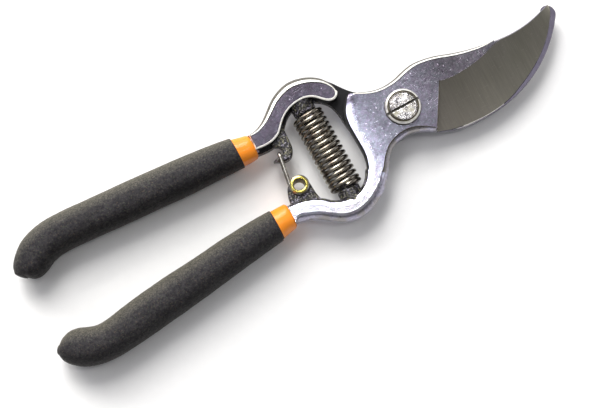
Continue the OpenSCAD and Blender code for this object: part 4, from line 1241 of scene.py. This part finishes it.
def shell_object(name, outer, inner, mats):
    """A dipped layer: closed at its far end, open at the arm."""
    n = len(outer[0])
    a, b = len(outer), len(inner)
    verts = np.concatenate(list(outer) + list(inner))
    o = a * n
    faces = []
    for k in range(a - 1):
        for i in range(n):
            j = (i + 1) % n
            faces.append((k * n + i, k * n + j, (k + 1) * n + j, (k + 1) * n + i))
    for k in range(b - 1):
        for i in range(n):
            j = (i + 1) % n
            faces.append((o + k * n + i, o + (k + 1) * n + i, o + (k + 1) * n + j, o + k * n + j))
    for i in range(n):
        j = (i + 1) % n
        faces.append((i, o + i, o + j, j))
    faces.append(tuple((a - 1) * n + i for i in range(n)))
    faces.append(tuple(o + (b - 1) * n + i for i in range(n - 1, -1, -1)))
    ob = mesh_object(name, verts, faces, mats, None, MM)
    outward(ob)
    return ob


def domed(rows, depth, k=6):
    """Rows that close the far end with a dome."""
    r0, r1 = np.array(rows[-2]), np.array(rows[-1])
    c0, c1 = (r0[0:2] + r0[2:4]) / 2, (r1[0:2] + r1[2:4]) / 2
    d = np.array([-(r1[1] - r1[3]), r1[0] - r1[2]])
    d *= np.sign(d @ (c1 - c0)) / np.linalg.norm(d)
    out = []
    for j in range(1, k + 1):
        a = math.radians(90 * j / (k + 0.35))
        c, s = c1 + d * depth * math.sin(a), math.cos(a)
        h = (r1[0:2] - r1[2:4]) / 2
        out.append(np.array([*(c + h * s), *(c - h * s), r1[4] * s]))
    return out


def grip(name, rows, collar, flip):
    n = 132
    body = smooth_rows(rows, 15)
    body[:, 4] = np.minimum(body[:, 4], G)
    rings = []
    # the lip: the dipped layer ends in a small rounded step on the collar
    first = body[0]
    for d, back in ((0.92, 0.0), (0.62, -0.10), (0.30, -0.12), (0.08, -0.02)):
        s = shrink(first, d)
        s[0] -= back * -1.0 * 0 + 0
        s[0] += -back * 1.0
        s[2] += -back * 1.0
        rings.append(oval(s, n, 2.25, flip))
    rings += [oval(s, n, 2.25, flip) for s in body]
    rings += [oval(s, n, 2.25, flip) for s in domed(body, 0.62)]
    rings = [np.array(r) for r in rings]
    # foamed skin: small real bumps, and slow dents along the handle
    seed = Vector((3.1, 7.7, 1.3)) if flip < 0 else Vector((9.2, 2.4, 5.5))
    m = len(rings)
    for k in range(4, m - 1):
        ring = rings[k]
        c = ring.mean(0)
        nxt, prv = rings[min(k + 1, m - 1)], rings[k - 1]
        tan = np.roll(ring, -1, 0) - np.roll(ring, 1, 0)
        along = nxt - prv
        nr = np.cross(tan, along)
        ln = np.linalg.norm(nr, axis=1)
        nr /= np.maximum(ln, 1e-9)[:, None]
        if (nr * (ring - c)).sum() < 0:
            nr = -nr
        for i in range(n):
            p = Vector(ring[i])
            h = 0.045 * noise.noise(p * 1.15 + seed) + 0.03 * noise.noise(p * 2.3 + seed) + 0.07 * noise.noise(p * 0.14 + seed)
            edge_fade = min(1.0, (k - 3) / 5)
            ring[i] += nr[i] * (h - 0.05) * edge_fade
    inner = [oval(shrink(collar[3], -0.04), n, 2.25, flip)] + [oval(shrink(s, 0.96), n, 2.25, flip) for s in smooth_rows(rows[1:], 4)]
    o = shell_object(name, rings, inner, [MAT["foam"]])
    for ring in ():
        pass
    return smooth_all(o, 70)


def sleeve(name, rows, collar, stub, flip):
    n = 96
    path = list(smooth_rows(collar, 8)) + [shrink(s, 1.0) for s in smooth_rows(rows[1:], 5)]
    lip0 = np.array(collar[0])
    lip = []
    for d, back in ((0.75, -0.10), (0.42, -0.16), (0.16, -0.12)):
        s = shrink(lip0, d)
        s[0] += -back
        s[2] += -back
        lip.append(s)
    outer = [oval(s, n, 2.25, flip) for s in lip + path]
    outer += [oval(s, n, 2.25, flip) for s in domed([shrink(r, 1.0) for r in rows[-2:]], 0.5, 4)]
    cav = [tang_row(collar[0], 3.3, 4.3)] + tang_rows(rows, stub, 0.08)[1:]
    inner = [oval(s, n, 3.2, flip) for s in smooth_rows(cav, 3)]
    o = shell_object(name, outer, inner, [MAT["orange"]])
    return smooth_all(o, 60)


u_sleeve = sleeve("upper_sleeve_orange", upper_rows, collar_upper, upper_stub, -1)
l_sleeve = sleeve("lower_sleeve_orange", lower_rows, collar_lower, lower_stub, 1)
u_grip = grip("upper_grip_foam", upper_rows, collar_upper, -1)
l_grip = grip("lower_grip_foam", lower_rows, collar_lower, 1)

# ---------------------------------------------------------------- bodies
RIDES = [
    (hook, "hook_arm", "hook_arm", "forged_steel"),
    (blade, "blade_arm", "blade_arm", "forged_steel"),
    (bolt, "hook_arm", "pivot_bolt", "nickel_plate"),
    (nut, "hook_arm", "pivot_nut", "nickel_plate"),
    (washer, "hook_arm", "pivot_washer", "nickel_plate"),
    (eyelet, "blade_arm", "latch_eyelet", "brass"),
    (latch, "latch", "latch_wire", "spring_wire"),
    (u_sleeve, "hook_arm", "upper_sleeve", "orange_vinyl"),
    (u_grip, "hook_arm", "upper_grip", "black_foam_vinyl"),
    (l_sleeve, "blade_arm", "lower_sleeve", "orange_vinyl"),
    (l_grip, "blade_arm", "lower_grip", "black_foam_vinyl"),
]
for piece, body, node, slot in RIDES:
    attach(piece, body)
    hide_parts(node)
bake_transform(spring)
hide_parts("return_spring")

# ---------------------------------------------------------------- floor, light
floor_mat = Nodes("floor_paper", Metallic=0.0, Roughness=0.9, IOR=1.35)
speck = floor_mat.noise(300, 2, 0.5)
floor_mat.set(Base_Color=floor_mat.mix(speck, (0.80, 0.80, 0.80), (0.84, 0.84, 0.84)))
floor = mesh_object("floor", [(-4, -4, -0.00005), (4, -4, -0.00005), (4, 4, -0.00005), (-4, 4, -0.00005)], [(0, 1, 2, 3)], [floor_mat.m], None, 1.0)


def area(name, direction, distance, size, power, color=(1, 1, 1), size_y=None):
    """Soft box on the given side of the tool, which faces the tool's middle."""
    centre = Vector((-0.045, 0.0, 0.008))
    d = Vector(direction).normalized()
    data = bpy.data.lights.new(name, "AREA")
    data.shape = "RECTANGLE"
    data.size = size
    data.size_y = size_y or size
    data.energy = power
    data.color = color
    o = bpy.data.objects.new(name, data)
    bpy.context.scene.collection.objects.link(o)
    o.location = centre + d * distance
    o.rotation_euler = (-d).to_track_quat("-Z", "Y").to_euler()
    return o


def pic(right, up, z):
    """A direction given as seen in the picture: right, up, and towards the ceiling."""
    return RIGHT * right + FLAT_UP * up + Vector((0, 0, z))


WORLD_BASE = 0.25
area("key", pic(-0.23, 0.72, 1.0), 1.1, 0.56, 9.4, (1.0, 0.985, 0.95))
area("low", pic(-0.72, 0.78, 0.60), 1.1, 0.50, 5.6, (1.0, 0.97, 0.90))
spark = area("spark", pic(0.22, 0.0, 1.0), 1.0, 0.26, 0.85, (1.0, 1.0, 0.98), 0.035)
spark.location = (0.15, -0.10, 1.0)
spark.rotation_euler = (0.0, 0.0, 0.0)
area("glint", pic(0.02, 0.06, 1.0), 1.0, 0.04, 0.19, (1.0, 1.0, 0.98))

world = bpy.data.worlds.new("studio")
bpy.context.scene.world = world
world.use_nodes = True
wt = world.node_tree
wt.nodes.clear()
w_out = wt.nodes.new("ShaderNodeOutputWorld")
w_bg = wt.nodes.new("ShaderNodeBackground")
wt.links.new(w_bg.outputs[0], w_out.inputs[0])
w_co = wt.nodes.new("ShaderNodeTexCoord").outputs["Generated"]


def w_dot(v):
    n = wt.nodes.new("ShaderNodeVectorMath")
    n.operation = "DOT_PRODUCT"
    wt.links.new(w_co, n.inputs[0])
    n.inputs[1].default_value = v
    return n.outputs["Value"]


def w_math(op, a, b=0.0, c=0.0, clamp=False):
    n = wt.nodes.new("ShaderNodeMath")
    n.operation = op
    n.use_clamp = clamp
    for v, i in zip((a, b, c), n.inputs):
        if isinstance(v, (int, float)):
            i.default_value = v
        else:
            wt.links.new(v, i)
    return n.outputs[0]


def w_step(v, lo, hi):
    n = wt.nodes.new("ShaderNodeMapRange")
    n.interpolation_type = "SMOOTHSTEP"
    wt.links.new(v, n.inputs["Value"])
    n.inputs["From Min"].default_value = lo
    n.inputs["From Max"].default_value = hi
    n.inputs["To Min"].default_value = 0.0
    n.inputs["To Max"].default_value = 1.0
    return n.outputs["Result"]


def w_window(v, a, b, c, d):
    """1 between b and c, 0 outside a and d."""
    return w_math("MULTIPLY", w_step(v, a, b), w_math("SUBTRACT", 1.0, w_step(v, c, d)))


def w_mul(*v):
    out = v[0]
    for x in v[1:]:
        out = w_math("MULTIPLY", out, x)
    return out


height = w_dot((0, 0, 1))
# a soft box just left of overhead, as seen in the picture
box_a = w_dot(pic(-0.95, 0.31, 0))
box_b = w_dot(pic(0.31, 0.95, 0))
soft_box = w_mul(w_window(box_a, 0.13, 0.31, 0.47, 0.60), w_window(box_b, -0.46, -0.08, 0.75, 0.95), w_step(height, 0.0, 0.2))
# a long low window at the top left
far_side = w_mul(w_step(w_dot(pic(-0.42, 0.91, 0)), 0.42, 0.74), w_window(height, 0.02, 0.16, 0.60, 0.82), w_window(w_dot((1, 0, 0)), -0.62, -0.40, 0.35, 0.60))
# a white wall low on the right
right_side = w_mul(w_step(w_dot(pic(0.95, 0.10, 0)), 0.70, 0.90), w_window(height, 0.0, 0.10, 0.35, 0.60))
value = w_math("ADD", WORLD_BASE, w_math("MULTIPLY", soft_box, 2.3))
value = w_math("ADD", value, w_math("MULTIPLY", far_side, 2.0))
value = w_math("ADD", value, w_math("MULTIPLY", right_side, 0.5))
wt.links.new(value, w_bg.inputs["Strength"])
w_bg.inputs["Color"].default_value = (0.97, 0.965, 1.0, 1)
bpy.context.scene.view_settings.view_transform = "Standard"
bpy.context.scene.view_settings.look = "None"
